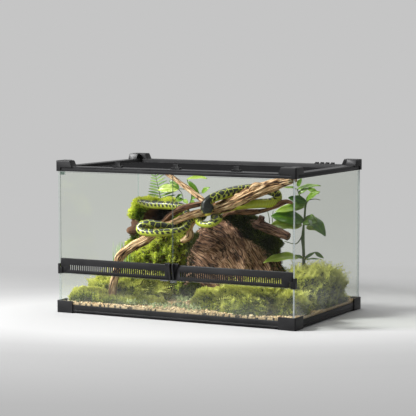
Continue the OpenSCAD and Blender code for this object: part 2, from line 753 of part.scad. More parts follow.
module broadleaf_plant() {
  crown = [319, 121, 390];
  fork = [282, 110, 426];
  color(leaf_green) {
    stem([[305, 120, 40], [303, 120, 153], [301, 120, 215], [297, 120, 257], [304, 120, 313],
      [309, 121, 372], crown], 4);
    stem([[310, 118, 40], [307, 117, 180], [305, 116, 245], [304, 118, 312]], 3);
    stem([[309, 121, 378], [290, 114, 404], fork], 2);
    stem([crown, [364, 120, 391]], 1.5);
    stem([[297, 120, 267], [289, 118, 250], [274, 110, 236], [238, 100, 245]], 2.5);
    leaf([302, 119, 314], [201, 70, 332], 40);
    leaf([298, 113, 300], [205, 55, 304], 34);
    leaf([304, 121, 316], [395, 92, 271], 48);
    leaf([308, 121, 368], [217, 70, 350], 30);
    leaf([310, 122, 380], [261, 80, 397], 26);
    leaf(fork, [358, 140, 438], 18);
    leaf(fork, [250, 70, 432], 14);
    leaf([286, 112, 408], [360, 120, 422], 18);
    leaf([310, 121, 386], [372, 100, 421], 20);
    leaf([303, 119, 187], [206, 2, 176], 26);
    leaf([305, 120, 182], [372, 130, 194], 16);
  }
}

module fern() {
  root = [-263, 124, 365];
  rise = [-40, 26, 92];
  color(leaf_green) {
    stem([root, root + rise / 2, root + rise], 2, on_mound);
    for (k = [0:5], side = [-1, 1]) let (foot = root + rise * (0.12 + 0.15 * k))
      leaf(foot, foot + [side * (50 - 6 * k), 4, 16 + 4 * side], 13, on = on_mound);
  }
}

module leafy_sprig() {
  joint = [-145, 126, 408];
  side = [-189, 124, 410];
  tip = [-156, 123, 446];
  color("#79a83a") {
    stem([[-150, 100, 340], [-145, 124, 362], [-139, 126, 386], joint, tip], 2.2, on_mound);
    stem([joint, side, [-180, 128, 390]], 1.4, on_mound);
    stem([[-139, 126, 386], [-93, 118, 400]], 1.4, on_mound);
    leaf(side, [-267, 108, 405], 36, on = on_mound);
    leaf(tip, [-68, 110, 452], 22, on = on_mound);
    leaf([-154, 123, 439], [-108, 120, 400], 16, on = on_mound);
    leaf([-93, 118, 400], [-60, 112, 420], 18, on = on_mound);
    leaf([-139, 126, 378], [-112, 122, 386], 15, on = on_mound);
    leaf(side, [-230, 130, 437], 18, on = on_mound);
  }
}

module grass_tuft() {
  foot = [-334, -30];
  color("#86a647") for (k = [0:8]) let (a = 40 * k, reach = 12 + 5 * (k % 3))
    stem([[foot.x, foot.y, plan_low],
      [foot.x + reach * 0.4 * cos(a), foot.y + reach * 0.4 * sin(a), 150],
      [foot.x + reach * 1.6 * cos(a), foot.y + reach * 1.6 * sin(a), 220 + 9 * (k % 4)]], 1.5);
}

// The python lies over the branches. Its route runs from the tail's tip to the snout.
python_route = [[-298, 20, 368], [-275, 19, 365], [-240, 16, 360], [-196, 10, 361],
  [-150, 2, 361], [-106, -12, 359], [-78, -30, 348], [-72, -54, 329], [-74, -82, 311],
  [-82, -110, 300], [-100, -136, 302], [-125, -158, 309], [-150, -168, 313], [-171, -173, 309],
  [-181, -178, 298], [-171, -184, 287], [-150, -186, 283], [-110, -182, 283], [-72, -166, 286],
  [-44, -140, 290], [-36, -112, 300], [-43, -84, 314], [-37, -57, 330], [-16, -42, 337],
  [5, -58, 335], [1, -88, 323], [18, -111, 316], [48, -120, 313], [74, -120, 320],
  [84, -104, 333], [68, -78, 335], [42, -52, 338], [56, -26, 354], [104, -15, 369],
  [155, -14, 378], [198, -12, 383], [234, -6, 386], [254, 4, 398], [247, 10, 418],
  [212, 6, 430], [178, -10, 433], [152, -36, 431], [126, -60, 426], [99, -80, 418],
  [73, -96, 408], [55, -108, 398], [48, -117, 384], [51, -121, 370], [53, -123, 358]];
python_radii = [8, 12, 14.5, 15, 15, 13, 12, 12, 12, 11, 11, 11, 11, 11, 11, 11, 11, 11, 11, 11,
  11, 11, 10.5, 10, 10, 10, 10, 10, 12, 14, 13, 12, 12, 13, 15, 16, 16, 16, 16, 16, 16, 16.5,
  17, 17, 16, 15, 17, 14, 6];
module python_figure() {
  color("#7c8a2c") limb(python_route, python_radii * python_r / 17, steps = 2, sides = 8);
}

foot_front_left();
foot_front_right();
foot_back_left();
foot_back_right();
bottom_rail_front();
bottom_rail_back();
bottom_rail_left();
bottom_rail_right();
base_panel();
back_pane();
left_pane();
right_pane();
lower_front_pane();
silicone_seams();
pivot_bracket_left();
pivot_bracket_right();
door_catch();
left_door_glass();
left_vent_rail();
left_door_pull();
left_pivot_shoe();
right_door_glass();
right_vent_rail();
right_door_pull();
right_pivot_shoe();
top_rail_front();
top_rail_back();
top_rail_left();
top_rail_right();
top_corner_front_left();
top_corner_front_right();
top_corner_back_left();
top_corner_back_right();
lid_frame();
lid_mesh();
lid_clip_left();
lid_clip_middle();
lid_clip_right();
cable_gate_1();
cable_gate_2();
cable_gate_3();
cable_gate_4();
gravel_bed();
moss_front_left();
moss_front_right();
moss_middle();
moss_right();
mossy_mound();
bark_log();
log_moss();
log_root();
main_branch();
branch_fork();
upper_branch();
side_branch();
broadleaf_plant();
fern();
leafy_sprig();
grass_tuft();
python_figure();
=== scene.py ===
"""Looks of a planted glass terrarium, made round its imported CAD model.

Lengths named _mm are millimetres and all others are metres. X runs along the front, Y from the
front to the back and Z up, with the origin on the table under the middle of the tank.
"""

import json
import logging
import math
from collections.abc import Sequence
from dataclasses import dataclass
from enum import Enum
from functools import lru_cache

import bmesh
import bpy
import numpy as np
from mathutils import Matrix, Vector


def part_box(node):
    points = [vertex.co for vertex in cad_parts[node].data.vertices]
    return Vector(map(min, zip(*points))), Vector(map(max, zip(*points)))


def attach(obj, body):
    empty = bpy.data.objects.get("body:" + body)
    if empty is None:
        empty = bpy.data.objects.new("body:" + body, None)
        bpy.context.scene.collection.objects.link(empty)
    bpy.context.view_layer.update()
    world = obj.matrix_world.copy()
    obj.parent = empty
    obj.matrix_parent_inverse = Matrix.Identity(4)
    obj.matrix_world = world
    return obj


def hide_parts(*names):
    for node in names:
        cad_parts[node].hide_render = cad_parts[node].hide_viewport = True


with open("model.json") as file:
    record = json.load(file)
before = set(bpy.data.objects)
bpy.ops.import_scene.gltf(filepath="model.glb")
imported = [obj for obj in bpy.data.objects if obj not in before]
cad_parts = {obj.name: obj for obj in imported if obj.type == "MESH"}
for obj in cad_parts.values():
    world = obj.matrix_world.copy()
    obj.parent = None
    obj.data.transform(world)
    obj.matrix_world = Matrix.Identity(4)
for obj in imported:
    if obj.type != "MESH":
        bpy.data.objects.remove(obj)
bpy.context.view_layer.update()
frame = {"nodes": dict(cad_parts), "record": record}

LOG = logging.getLogger("terrarium")
Array = np.ndarray
Pair = tuple[float, float]
Triple = tuple[float, float, float]
Colour = tuple[float, float, float, float]
MM = 0.001
BED_TOP = 36 * MM  # upper face of the gravel
GLASS_X = 441.5 * MM  # inner faces of the side panes
GLASS_Y = 269.0 * MM  # inner faces of the front and back panes
PANE_GAP_MM = 5.0  # how near the panes the planting comes
ROOM = np.array([[-0.4405, -0.2635, 0.021], [0.4405, 0.268, 0.4885]])  # where planting may grow
SAME_SPOT = 0.01 * MM  # corners that are nearer than this are one
FLAT = math.radians(0.5)  # faces that turn by less than this are one flat face
SHARP = math.radians(28)  # edges that turn by more than this are rounded
WHITE = (1.0, 1.0, 1.0, 1.0)


class Slot(Enum):
    """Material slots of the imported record."""

    FRAME = "frame_plastic"
    NYLON = "black_nylon"
    LID = "lid_plastic"
    GLASS = "float_glass"
    SILICONE = "clear_silicone"
    POLYCARBONATE = "clear_polycarbonate"
    STEEL = "catch_steel"
    SCREEN = "screen_mesh"
    GRAVEL = "gravel"
    MOSS = "moss"
    BARK = "bark"
    WOOD = "driftwood"
    LEAF = "foliage"
    SNAKE = "python_rubber"


# ---- materials ----


def linear(code: str, alpha: float = 1.0) -> Colour:
    """Turns an sRGB hex code to the linear colour that shaders use.

    Args:
        code: Six hex digits after a hash sign.
        alpha: The fourth number of the result.

    Returns:
        Red, green, blue and alpha.
    """
    values = [int(code[i : i + 2], 16) / 255 for i in (1, 3, 5)]
    parts = [v / 12.92 if v <= 0.04045 else ((v + 0.055) / 1.055) ** 2.4 for v in values]
    return (parts[0], parts[1], parts[2], alpha)


def per(size_mm: float) -> float:
    """How many of something this size lie in a metre, as a texture's scale."""
    return 1 / (size_mm * MM)


def put(
    tree: bpy.types.NodeTree,
    kind: str,
    inputs: dict | None = None,
    stops: Sequence[tuple[float, str]] = (),
    **settings: object,
) -> bpy.types.Node:
    """Adds one shader node with its settings and links.

    Args:
        tree: The node tree that takes it.
        kind: The node's type, without its "ShaderNode" prefix.
        inputs: A value, an output socket, or a node whose first output is meant, for each input.
        stops: Places and hex colours of a colour ramp.
        **settings: Properties of the node itself.

    Returns:
        The new node.
    """
    node = tree.nodes.new("ShaderNode" + kind)
    for name, value in settings.items():
        setattr(node, name, value)
    for key, value in (inputs or {}).items():
        if isinstance(value, bpy.types.Node):
            value = value.outputs[0]
        if isinstance(value, bpy.types.NodeSocket):
            tree.links.new(value, node.inputs[key])
        else:
            node.inputs[key].default_value = value
    for index, (spot, code) in enumerate(stops):
        elements = node.color_ramp.elements
        element = elements[index] if index < 2 else elements.new(spot)
        element.position, element.color = spot, linear(code)
    return node


def blank(name: str) -> tuple[bpy.types.Material, bpy.types.NodeTree]:
    """Makes a material with an empty node tree."""
    made = bpy.data.materials.new(name)
    made.use_nodes = True
    made.node_tree.nodes.clear()
    return made, made.node_tree


def show(tree: bpy.types.NodeTree, shader: bpy.types.Node) -> None:
    """Joins a shader to the material's output."""
    put(tree, "OutputMaterial", {"Surface": shader})


@dataclass(frozen=True)
class MouldedPlastic:
    """Moulded plastic with a spark-eroded grain: dark, with a low sheen that varies a little.

    Attributes:
        name: What the plastic is.
        colour: Its main tone.
        rubbed: The slightly paler tone in its clouds.
        roughness: Its mean roughness.
        grain_mm: Size of the grain; the real 0.3 mm is too fine to show, so it is drawn coarser.
        sheen: Strength of its reflection, where 0.5 is that of clear plastic.
        grain_deep_mm: Depth of the grain.
        cloud_mm: Size of the clouds.
        smoother: How far the roughness falls between clouds.
        rougher: How far it rises inside them.
    """

    name: str
    colour: str
    rubbed: str
    roughness: float
    grain_mm: float = 1.1
    sheen: float = 0.2
    grain_deep_mm: float = 0.12
    cloud_mm: float = 70.0
    smoother: float = 0.06
    rougher: float = 0.1

    def material(self) -> bpy.types.Material:
        """Builds the material."""
        made, tree = blank(self.name)
        place = put(tree, "TexCoord").outputs["Object"]
        cloud = put(tree, "TexNoise", {"Vector": place, "Scale": per(self.cloud_mm), "Detail": 4.0})
        grain = put(tree, "TexNoise", {"Vector": place, "Scale": per(self.grain_mm)})
        stops = [(0.35, self.colour), (0.75, self.rubbed)]
        low, high = self.roughness - self.smoother, self.roughness + self.rougher
        deep = self.grain_deep_mm * MM
        skin = {
            "Base Color": put(tree, "ValToRGB", {"Fac": cloud}, stops=stops),
            "Roughness": put(tree, "MapRange", {"Value": cloud, "To Min": low, "To Max": high}),
            "Normal": put(tree, "Bump", {"Height": grain, "Strength": 0.25, "Distance": deep}),
            "Specular IOR Level": self.sheen,
        }
        show(tree, put(tree, "BsdfPrincipled", skin))
        return made


@dataclass(frozen=True)
class ClearPane:
    """Clear glass or clear plastic: see-through, and mirroring more the more it is seen edge on.

    Attributes:
        name: What it is.
        tint: Colour of what is seen through one face.
        haze: Share of white film at the bottom.
        haze_top: Height at which the film has gone.
        gloss: Roughness of its mirror image.
        square_on: Share of it that mirrors when it is seen square on.
        edge_on: The share that is added to that when it is seen edge on.
        film: Colour of the film.
        cloud_mm: Size of the film's thick and thin places.
        cloud_gain: Makes up for the clouds, which thin the film to about half.
    """

    name: str
    tint: str
    haze: float = 0.0
    haze_top: float = 0.3
    gloss: float = 0.02
    square_on: float = 0.004
    edge_on: float = 0.6
    film: str = "#f4f6f2"
    cloud_mm: float = 90.0
    cloud_gain: float = 1.6

    def material(self) -> bpy.types.Material:
        """Builds the material.

        square_on + edge_on (1 - cosine)^5 of it mirrors. The rest is clear. Real glass has 0.04 and
        0.96, but the photographed panes hardly mirror the room.
        """
        made, tree = blank(self.name)
        facing = put(tree, "LayerWeight", {"Blend": 0.5}).outputs["Facing"]
        power = put(tree, "Math", {0: facing, 1: 5.0}, operation="POWER")
        share = put(
            tree, "Math", {0: power, 1: self.edge_on, 2: self.square_on}, operation="MULTIPLY_ADD"
        )
        clear = put(tree, "BsdfTransparent", {"Color": linear(self.tint)})
        mirror = put(tree, "BsdfGlossy", {"Color": WHITE, "Roughness": self.gloss})
        pane = put(tree, "MixShader", {0: share, 1: clear, 2: mirror})
        if self.haze:
            pane = self.filmed(tree, pane)
        show(tree, pane)
        return made

    def filmed(self, tree: bpy.types.NodeTree, pane: bpy.types.Node) -> bpy.types.Node:
        """Lays the film over the pane's shader, thickest at the gravel and cloudy.

        Args:
            tree: The material's node tree.
            pane: The clean pane's shader.

        Returns:
            The shader of both.
        """
        place = put(tree, "TexCoord").outputs["Object"]
        height = put(tree, "SeparateXYZ", {0: place}).outputs["Z"]
        drift = put(tree, "TexNoise", {"Vector": place, "Scale": per(self.cloud_mm), "Detail": 3.0})
        levels = {"From Min": BED_TOP, "From Max": self.haze_top}
        shares = {"To Min": self.haze * self.cloud_gain, "To Max": 0.0}
        fade = put(tree, "MapRange", {"Value": height, **levels, **shares})
        cover = put(tree, "Math", {0: fade, 1: drift}, operation="MULTIPLY")
        # A white film, thickest at the gravel, that lets some light through and scatters the rest.
        film_through = put(tree, "BsdfTranslucent", {"Color": linear(self.film)})
        film_matte = put(tree, "BsdfDiffuse", {"Color": linear(self.film)})
        both = put(tree, "MixShader", {0: 0.5, 1: film_through, 2: film_matte})
        return put(tree, "MixShader", {0: cover, 1: pane, 2: both})


@dataclass(frozen=True)
class GroundEdge:
    """The ground edge of float glass: pale blue-green, frosted, and lit from inside the pane.

    Attributes:
        name: What it is.
        colour: Its tone.
        streak: The tone of its darker streaks.
        clearness: Share of light that passes straight through.
        through: Colour of the light that does.
        streak_mm: Size of the streaks.
        lit: Share of the rest that comes from inside the pane.
    """

    name: str
    colour: str
    streak: str = "#a4abae"
    clearness: float = 0.35
    through: str = "#f2f8f5"
    streak_mm: float = 6.0
    lit: float = 0.45

    def material(self) -> bpy.types.Material:
        """Builds the material."""
        made, tree = blank(self.name)
        place = put(tree, "TexCoord").outputs["Object"]
        lines = put(
            tree, "TexNoise", {"Vector": place, "Scale": per(self.streak_mm), "Detail": 2.0}
        )
        tone = put(tree, "ValToRGB", {"Fac": lines}, stops=[(0.3, self.streak), (0.7, self.colour)])
        body = put(tree, "BsdfPrincipled", {"Base Color": tone, "Roughness": 0.25, "IOR": 1.5})
        inner = put(tree, "BsdfTranslucent", {"Color": tone})
        clear = put(tree, "BsdfTransparent", {"Color": linear(self.through)})
        frosted = put(tree, "MixShader", {0: self.lit, 1: body, 2: inner})
        show(tree, put(tree, "MixShader", {0: self.clearness, 1: frosted, 2: clear}))
        return made


@dataclass(frozen=True)
class PressedSteel:
    """Stainless sheet, brushed along X: a soft streaked mirror.

    Attributes:
        name: What it is.
        streaks: How many streaks lie in a metre along X, Y and Z.
    """

    name: str
    streaks: Triple = (20.0, 1500.0, 1500.0)

    def material(self) -> bpy.types.Material:
        """Builds the material."""
        made, tree = blank(self.name)
        place = put(tree, "TexCoord").outputs["Object"]
        long = put(tree, "Mapping", {"Vector": place, "Scale": self.streaks})
        streak = put(tree, "TexNoise", {"Vector": long, "Scale": 1.0, "Detail": 3.0})
        rough = put(tree, "MapRange", {"Value": streak, "To Min": 0.22, "To Max": 0.45})
        tone = put(tree, "ValToRGB", {"Fac": streak}, stops=[(0.3, "#6a6c6e"), (0.7, "#8d8f91")])
        skin = {"Base Color": tone, "Metallic": 1.0, "Roughness": rough}
        show(tree, put(tree, "BsdfPrincipled", skin))
        return made


@dataclass(frozen=True)
class Grown:
    """Something grown or worn by nature, coloured by the numbers that its mesh carries.

    The mesh's "grain" attribute holds three numbers a point: how high, far along or near the tip
    it is, a tone that changes from one strand, stone or patch to the next, and a third of its own.

    Attributes:
        name: What it is.
        stops: Colours from the lowest and darkest to the highest and palest.
        weights: Shares of the three numbers and of a fine noise in the place on that scale.
        fleck_mm: Size of the fine noise.
        bump_mm: Height of the bumps.
        roughness: Its roughness.
        glow: Share of light that comes through it from behind.
        coat: Weight of a waxy or wet coat.
    """

    name: str
    stops: tuple[tuple[float, str], ...]
    weights: tuple[float, float, float, float]
    fleck_mm: float
    bump_mm: float = 0.4
    roughness: float = 0.8
    glow: float = 0.0
    coat: float = 0.0

    def material(self) -> bpy.types.Material:
        """Builds the material."""
        made, tree = blank(self.name)
        place = put(tree, "TexCoord").outputs["Object"]
        marks = put(tree, "Attribute", attribute_name="grain").outputs["Vector"]
        split = put(tree, "SeparateXYZ", {0: marks})
        fleck = put(tree, "TexNoise", {"Vector": place, "Scale": per(self.fleck_mm), "Detail": 4.0})
        total: bpy.types.Node | float = 0.0
        for source, weight in zip([*split.outputs, fleck.outputs[0]], self.weights):
            total = put(tree, "Math", {0: source, 1: weight, 2: total}, operation="MULTIPLY_ADD")
        tone = put(tree, "ValToRGB", {"Fac": total}, stops=self.stops)
        bumps = {"Height": fleck, "Strength": 0.8, "Distance": self.bump_mm * MM}
        skin = {
            "Base Color": tone,
            "Roughness": self.roughness,
            "Normal": put(tree, "Bump", bumps),
            "Coat Weight": self.coat,
            "Coat Roughness": 0.25,
        }
        shader = put(tree, "BsdfPrincipled", skin)
        if self.glow:
            through = put(tree, "BsdfTranslucent", {"Color": tone})
            shader = put(tree, "MixShader", {0: self.glow, 1: shader, 2: through})
        show(tree, shader)
        return made


@dataclass(frozen=True)
class WeatheredWood:
    """Driftwood or bark: long fibres and dark cracks that follow the limb.

    The mesh's "grain" attribute holds the place on the limb as if it were straight: the length
    along it, and the two distances across it, in metres.

    Attributes:
        name: What the wood is.
        stops: Colours from the bottom of a crack to the top of a fibre; the crack bottoms are
            partly painted shade.
        fibre_mm: Width of a fibre.
        stretch: How many times longer than wide a fibre is.
        relief_mm: Height of the fibres.
        patch_mm: Size of the paler and darker patches.
        patch_share: How strong the patches are.
        crack_long: How many times longer than a fibre a crack is.
        crack_wide: How many fibres lie between two cracks.
    """

    name: str
    stops: tuple[tuple[float, str], ...]
    fibre_mm: float
    stretch: float
    relief_mm: float
    patch_mm: float = 45.0
    patch_share: float = 0.3
    crack_long: float = 5.0
    crack_wide: float = 4.0

    def material(self) -> bpy.types.Material:
        """Builds the material."""
        made, tree = blank(self.name)
        marks = put(tree, "Attribute", attribute_name="grain").outputs["Vector"]
        fine = per(self.fibre_mm)
        fibres = (fine / self.stretch, fine, fine)
        across = fine / self.crack_wide
        cracks = (fine / self.stretch / self.crack_long, across, across)
        long = put(tree, "Mapping", {"Vector": marks, "Scale": fibres})
        fibre = put(tree, "TexNoise", {"Vector": long, "Scale": 1.0, "Detail": 5.0})
        wide = put(tree, "Mapping", {"Vector": marks, "Scale": cracks})
        deep = put(tree, "TexNoise", {"Vector": wide, "Scale": 1.0, "Detail": 2.0})
        ridge = put(tree, "Math", {0: deep, 1: 0.5}, operation="SUBTRACT")
        valley = put(tree, "Math", {0: ridge}, operation="ABSOLUTE")
        whole = put(
            tree, "MapRange", {"Value": valley, "From Max": 0.05, "To Min": 0.3, "To Max": 1.0}
        )
        height = put(tree, "Math", {0: fibre, 1: whole}, operation="MULTIPLY")
        place = put(tree, "TexCoord").outputs["Object"]
        patch = put(tree, "TexNoise", {"Vector": place, "Scale": per(self.patch_mm)})
        even = put(tree, "Math", {0: patch, 1: 0.5}, operation="SUBTRACT")
        # The colour follows the fibres' height, so crack bottoms are painted darker: partly the
        # wood's own dark cracks, partly painted shade.
        mix = {0: even, 1: self.patch_share, 2: height}
        level = put(tree, "Math", mix, operation="MULTIPLY_ADD")
        bumps = {"Height": height, "Strength": 0.9, "Distance": self.relief_mm * MM}
        skin = {
            "Base Color": put(tree, "ValToRGB", {"Fac": level}, stops=self.stops),
            "Roughness": 0.85,
            "Normal": put(tree, "Bump", bumps),
        }
        show(tree, put(tree, "BsdfPrincipled", skin))
        return made


@dataclass(frozen=True)
class SnakeSkin:
    """Satin scales: a dark netted back, flanks with slanted bars, and a plain yellow-green belly.

    The mesh's "grain" attribute holds the place on the straightened body: the length along it from
    the tail in metres, and where the point is round it, as the cosine towards the left flank and
    the sine towards the back.

    Attributes:
        name: What it is.
        dark: Tone of the back and the bars.
        light: Tone of the net and the bars' edges.
        belly: Tone underneath.
        snout: Tone of the snout.
        length_mm: Length of the whole animal.
        worn: The greyer tone in the middle of the back's dark blotches.
        scute: The darker tone between the belly's broad scales.
        bar_mm: Spacing of the bars.
        scale_mm: Size of a scale, drawn about twice too big so that it shows.
        girth_mm: The body's mean radius, which turns the place round it to a length.
        wobble_mm: Size of the wobble in every zone's edge.
        net_mm: Width of the net's blotches.
        scute_mm: Length of a belly scale.
        crown_mm: Where the head's plain dark crown starts and is full, back from the snout.
        nose_mm: Where the snout's tone starts and is full, back from its end.
    """

    name: str
    dark: str
    light: str
    belly: str
    snout: str
    length_mm: float
    worn: str = "#2b312c"
    scute: str = "#8f9a2e"
    bar_mm: float = 17.0
    scale_mm: float = 2.6
    girth_mm: float = 14.0
    wobble_mm: float = 18.0
    net_mm: float = 19.0
    scute_mm: float = 5.0
    crown_mm: Pair = (70.0, 52.0)
    nose_mm: Pair = (8.0, 4.0)

    def near_end(self, along: bpy.types.NodeSocket, reach_mm: Pair) -> dict:
        """Inputs of a range that starts and is full at these distances from the snout."""
        start, full = ((self.length_mm - reach) * MM for reach in reach_mm)
        return {"Value": along, "From Min": start, "From Max": full}

    def material(self) -> bpy.types.Material:
        """Builds the material from zones round the body."""
        made, tree = blank(self.name)
        marks = put(tree, "Attribute", attribute_name="grain").outputs["Vector"]
        along, _, up = put(tree, "SeparateXYZ", {0: marks}).outputs
        girth = self.girth_mm * MM
        body = put(tree, "Mapping", {"Vector": marks, "Scale": (1.0, girth, girth)})
        edges = {"feature": "DISTANCE_TO_EDGE"}
        wobble = put(
            tree, "TexNoise", {"Vector": body, "Scale": per(self.wobble_mm), "Detail": 2.0}
        )
        drift = put(tree, "MapRange", {"Value": wobble, "To Min": -0.28, "To Max": 0.28})
        height = put(tree, "Math", {0: up, 1: drift}, operation="ADD")
        net = put(tree, "TexVoronoi", {"Vector": body, "Scale": per(self.net_mm)}, **edges)
        crown = put(tree, "MapRange", {**self.near_end(along, self.crown_mm), "To Max": 0.12})
        blotch = put(tree, "Math", {0: net, 1: crown}, operation="ADD")
        stops = [(0.02, self.light), (0.07, self.dark), (0.4, self.worn)]
        back = put(tree, "ValToRGB", {"Fac": blotch}, stops=stops)
        slant = put(tree, "Math", {0: up, 1: 7 * MM, 2: along}, operation="MULTIPLY_ADD")
        waved = put(tree, "Math", {0: wobble, 1: 9 * MM, 2: slant}, operation="MULTIPLY_ADD")
        rate = math.tau / (self.bar_mm * MM)
        turn = put(tree, "Math", {0: waved, 1: rate}, operation="MULTIPLY")
        wave = put(tree, "Math", {0: turn}, operation="SINE")
        level = put(tree, "Math", {0: wave, 1: 0.35}, operation="ADD")
        bars = put(tree, "ValToRGB", {"Fac": level}, stops=[(0.0, self.light), (0.2, self.dark)])
        flank = put(tree, "MapRange", {"Value": height, "From Min": 0.55, "From Max": 0.25})
        upper = put(tree, "Mix", {0: flank, 6: back, 7: bars}, data_type="RGBA")
        under = put(tree, "MapRange", {"Value": height, "From Min": -0.05, "From Max": -0.3})
        rate = math.tau / (self.scute_mm * MM)
        ring = put(tree, "Math", {0: along, 1: rate}, operation="MULTIPLY")
        ripple = put(tree, "Math", {0: ring}, operation="SINE")
        scutes = put(
            tree, "ValToRGB", {"Fac": ripple}, stops=[(0.0, self.belly), (0.9, self.scute)]
        )
        lower = put(tree, "Mix", {0: under, 6: upper.outputs[2], 7: scutes}, data_type="RGBA")
        nose = put(tree, "MapRange", self.near_end(along, self.nose_mm))
        tones = {0: nose, 6: lower.outputs[2], 7: linear(self.snout)}
        tone = put(tree, "Mix", tones, data_type="RGBA")
        scales = put(tree, "TexVoronoi", {"Vector": body, "Scale": per(self.scale_mm)}, **edges)
        bump = put(tree, "Bump", {"Height": scales, "Strength": 0.35, "Distance": 0.4 * MM})
        skin = {"Base Color": tone.outputs[2], "Roughness": 0.34, "Normal": bump}
        show(tree, put(tree, "BsdfPrincipled", skin))
        return made


Finish = MouldedPlastic | ClearPane | GroundEdge | PressedSteel | Grown | WeatheredWood | SnakeSkin


@lru_cache(maxsize=None)
def material_of(finish: Finish) -> bpy.types.Material:
    """Builds each finish's material once."""
    return finish.material()


# Moulded black ABS: low sheen, so its tops show the pale room at a grazing angle.
ABS = MouldedPlastic("abs_moulded_charcoal", "#19191a", "#232324", 0.4)
# Moulded black nylon: a little darker and more waxy than the frame.
NYLON = MouldedPlastic("nylon_moulded_black", "#0f0f10", "#171718", 0.34)
# Lid plastic: the same family as the frame, in a plain satin.
LID_ABS = MouldedPlastic("abs_moulded_lid_black", "#0d0d0e", "#151516", 0.42)
# Coated steel wire: dark and nearly dull, so the screen reads as an even grey veil.
WIRE = MouldedPlastic("wire_coated_black", "#09090a", "#111112", 0.7, grain_mm=2.0, sheen=0.05)
# Float glass: clear, with a trace of green in it.
GLASS = ClearPane("float_glass_clear", "#fdfefc")
# The low front pane, with a white film on it just above the gravel.
LOW_FILMED_GLASS = ClearPane("float_glass_filmed_low", "#fdfefc", haze=0.07, haze_top=0.14)
# The right pane is seen more edge on, so its tint is painted darker as painted shade for the light
# behind it that is lost.
SIDE_GLASS = ClearPane("float_glass_side", "#f7f8f6", haze=0.065, haze_top=0.16)
# Ground edge of the same glass, which gathers light from inside the pane.
EDGE = GroundEdge("float_glass_ground_edge", "#c3c9cc")
# The back and left panes' edges, clearer still because the panes behind them are bright.
BACK_EDGE = GroundEdge("float_glass_back_edge", "#cdd2d3", clearness=0.85)
# The doors' edges, painted darker as painted shade, since they meet in the shade of each other.
DOOR_EDGE = GroundEdge("float_glass_door_edge", "#6c7472", streak="#59605e", clearness=0.55)
# Silicone bead: clear, and too soft to mirror anything.
SILICONE = ClearPane("silicone_clear_bead", "#feffff", gloss=0.3, edge_on=0.02)
# Moulded polycarbonate: clear, with a softer mirror than glass.
POLYCARBONATE = ClearPane("polycarbonate_clear", "#e2e8e6", gloss=0.08)
# Brushed stainless sheet: a mid-grey mirror, blurred along the brushing.
STEEL = PressedSteel("stainless_sheet_brushed")
# Washed quartz gravel: dull tan and cream stones, each of its own tone.
GRAVEL = Grown(
    "quartz_gravel_tan",
    ((0.0, "#8a7150"), (0.3, "#b99b72"), (0.6, "#d0b58c"), (0.85, "#dfcea9"), (1.0, "#ebe2c9")),
    weights=(0.15, 0.65, 0.0, 0.25),
    fleck_mm=3.0,
    bump_mm=0.3,
    roughness=0.7,
)
FEATHERY = {"fleck_mm": 6.0, "bump_mm": 0.3, "roughness": 0.75}  # what all fresh moss shares
# Fresh moss on the gravel: feathery, with yellow-green tips that light comes through.
MOSS = Grown(
    "moss_feathery_fresh",
    ((0.12, "#0c1006"), (0.33, "#33430f"), (0.54, "#758528"), (0.74, "#b1b846"), (0.97, "#dfe07c")),
    weights=(0.35, 0.3, 0.5, 0.0),
    glow=0.4,
    **FEATHERY,
)
# The same moss on the stump, painted brighter as painted light from the lid.
MOSS_LIT = Grown(
    "moss_feathery_lit",
    ((0.1, "#0c1105"), (0.29, "#364b0c"), (0.48, "#7f9a1e"), (0.67, "#bccb36"), (0.92, "#e4ea6c")),
    weights=(0.35, 0.3, 0.5, 0.0),
    glow=0.4,
    **FEATHERY,
)
# The same moss painted darker as painted shade, on the log and in the middle of the tank.
MOSS_DARK = Grown(
    "moss_feathery_shaded",
    ((0.0, "#0b0f03"), (0.35, "#1b2307"), (0.65, "#3f4a12"), (0.9, "#6f7d26"), (1.0, "#98a63c")),
    weights=(0.4, 0.3, 0.3, 0.0),
    glow=0.2,
    **FEATHERY,
)
# The ground under the shoots, painted nearly black as painted shade so that gaps between shoots
# read as deep.
MOSS_GROUND = Grown(
    "moss_ground_painted_shade",
    ((0.0, "#0c0a04"), (0.4, "#1d2408"), (0.7, "#4a5714"), (1.0, "#8a9a2c")),
    weights=(0.4, 0.3, 0.0, 0.4),
    fleck_mm=7.0,
    bump_mm=3.0,
    roughness=0.9,
)
STUMP_STOPS = (
    (0.0, "#060604"), (0.22, "#0f0d07"), (0.4, "#4b3123"), (0.6, "#6a4a33"), (0.8, "#4c5518"),
    (1.0, "#7d8f22"),
)  # fmt: skip
# The stump: black in its hollow as painted shade, then bare brown wood, then wood green with moss.
STUMP = Grown(
    "stump_wood_mossy",
    STUMP_STOPS,
    weights=(0.45, 0.35, 0.0, 0.3),
    fleck_mm=9.0,
    bump_mm=3.0,
    roughness=0.9,
)
# Rough bark: red-brown and dull, with pale worn ridges over dark furrows, whose darkness is partly
# painted shade.
BARK = WeatheredWood(
    "bark_rough_red_brown",
    ((0.12, "#1a0f09"), (0.27, "#452d20"), (0.46, "#7f5b44"), (0.68, "#c8a486")),
    fibre_mm=2.6,
    stretch=10.0,
    relief_mm=1.8,
    patch_mm=60.0,
    patch_share=0.6,
)
LIMB_GRAIN = {"fibre_mm": 3.0, "stretch": 9.0, "relief_mm": 1.6}  # what all the branches share
# Dry driftwood: warm tan, with pale fibres and dark cracks along the limb.
DRIFTWOOD = WeatheredWood(
    "driftwood_weathered",
    ((0.15, "#180d06"), (0.29, "#63432b"), (0.44, "#b2895d"), (0.63, "#e8cda5")),
    **LIMB_GRAIN,
)
# The same wood damp, and painted two tones darker as painted shade.
DARK_WOOD = WeatheredWood(
    "driftwood_wet_painted_shade",
    ((0.12, "#20120a"), (0.3, "#4a2f1f"), (0.5, "#7a573e"), (0.75, "#a98468")),
    **LIMB_GRAIN,
)
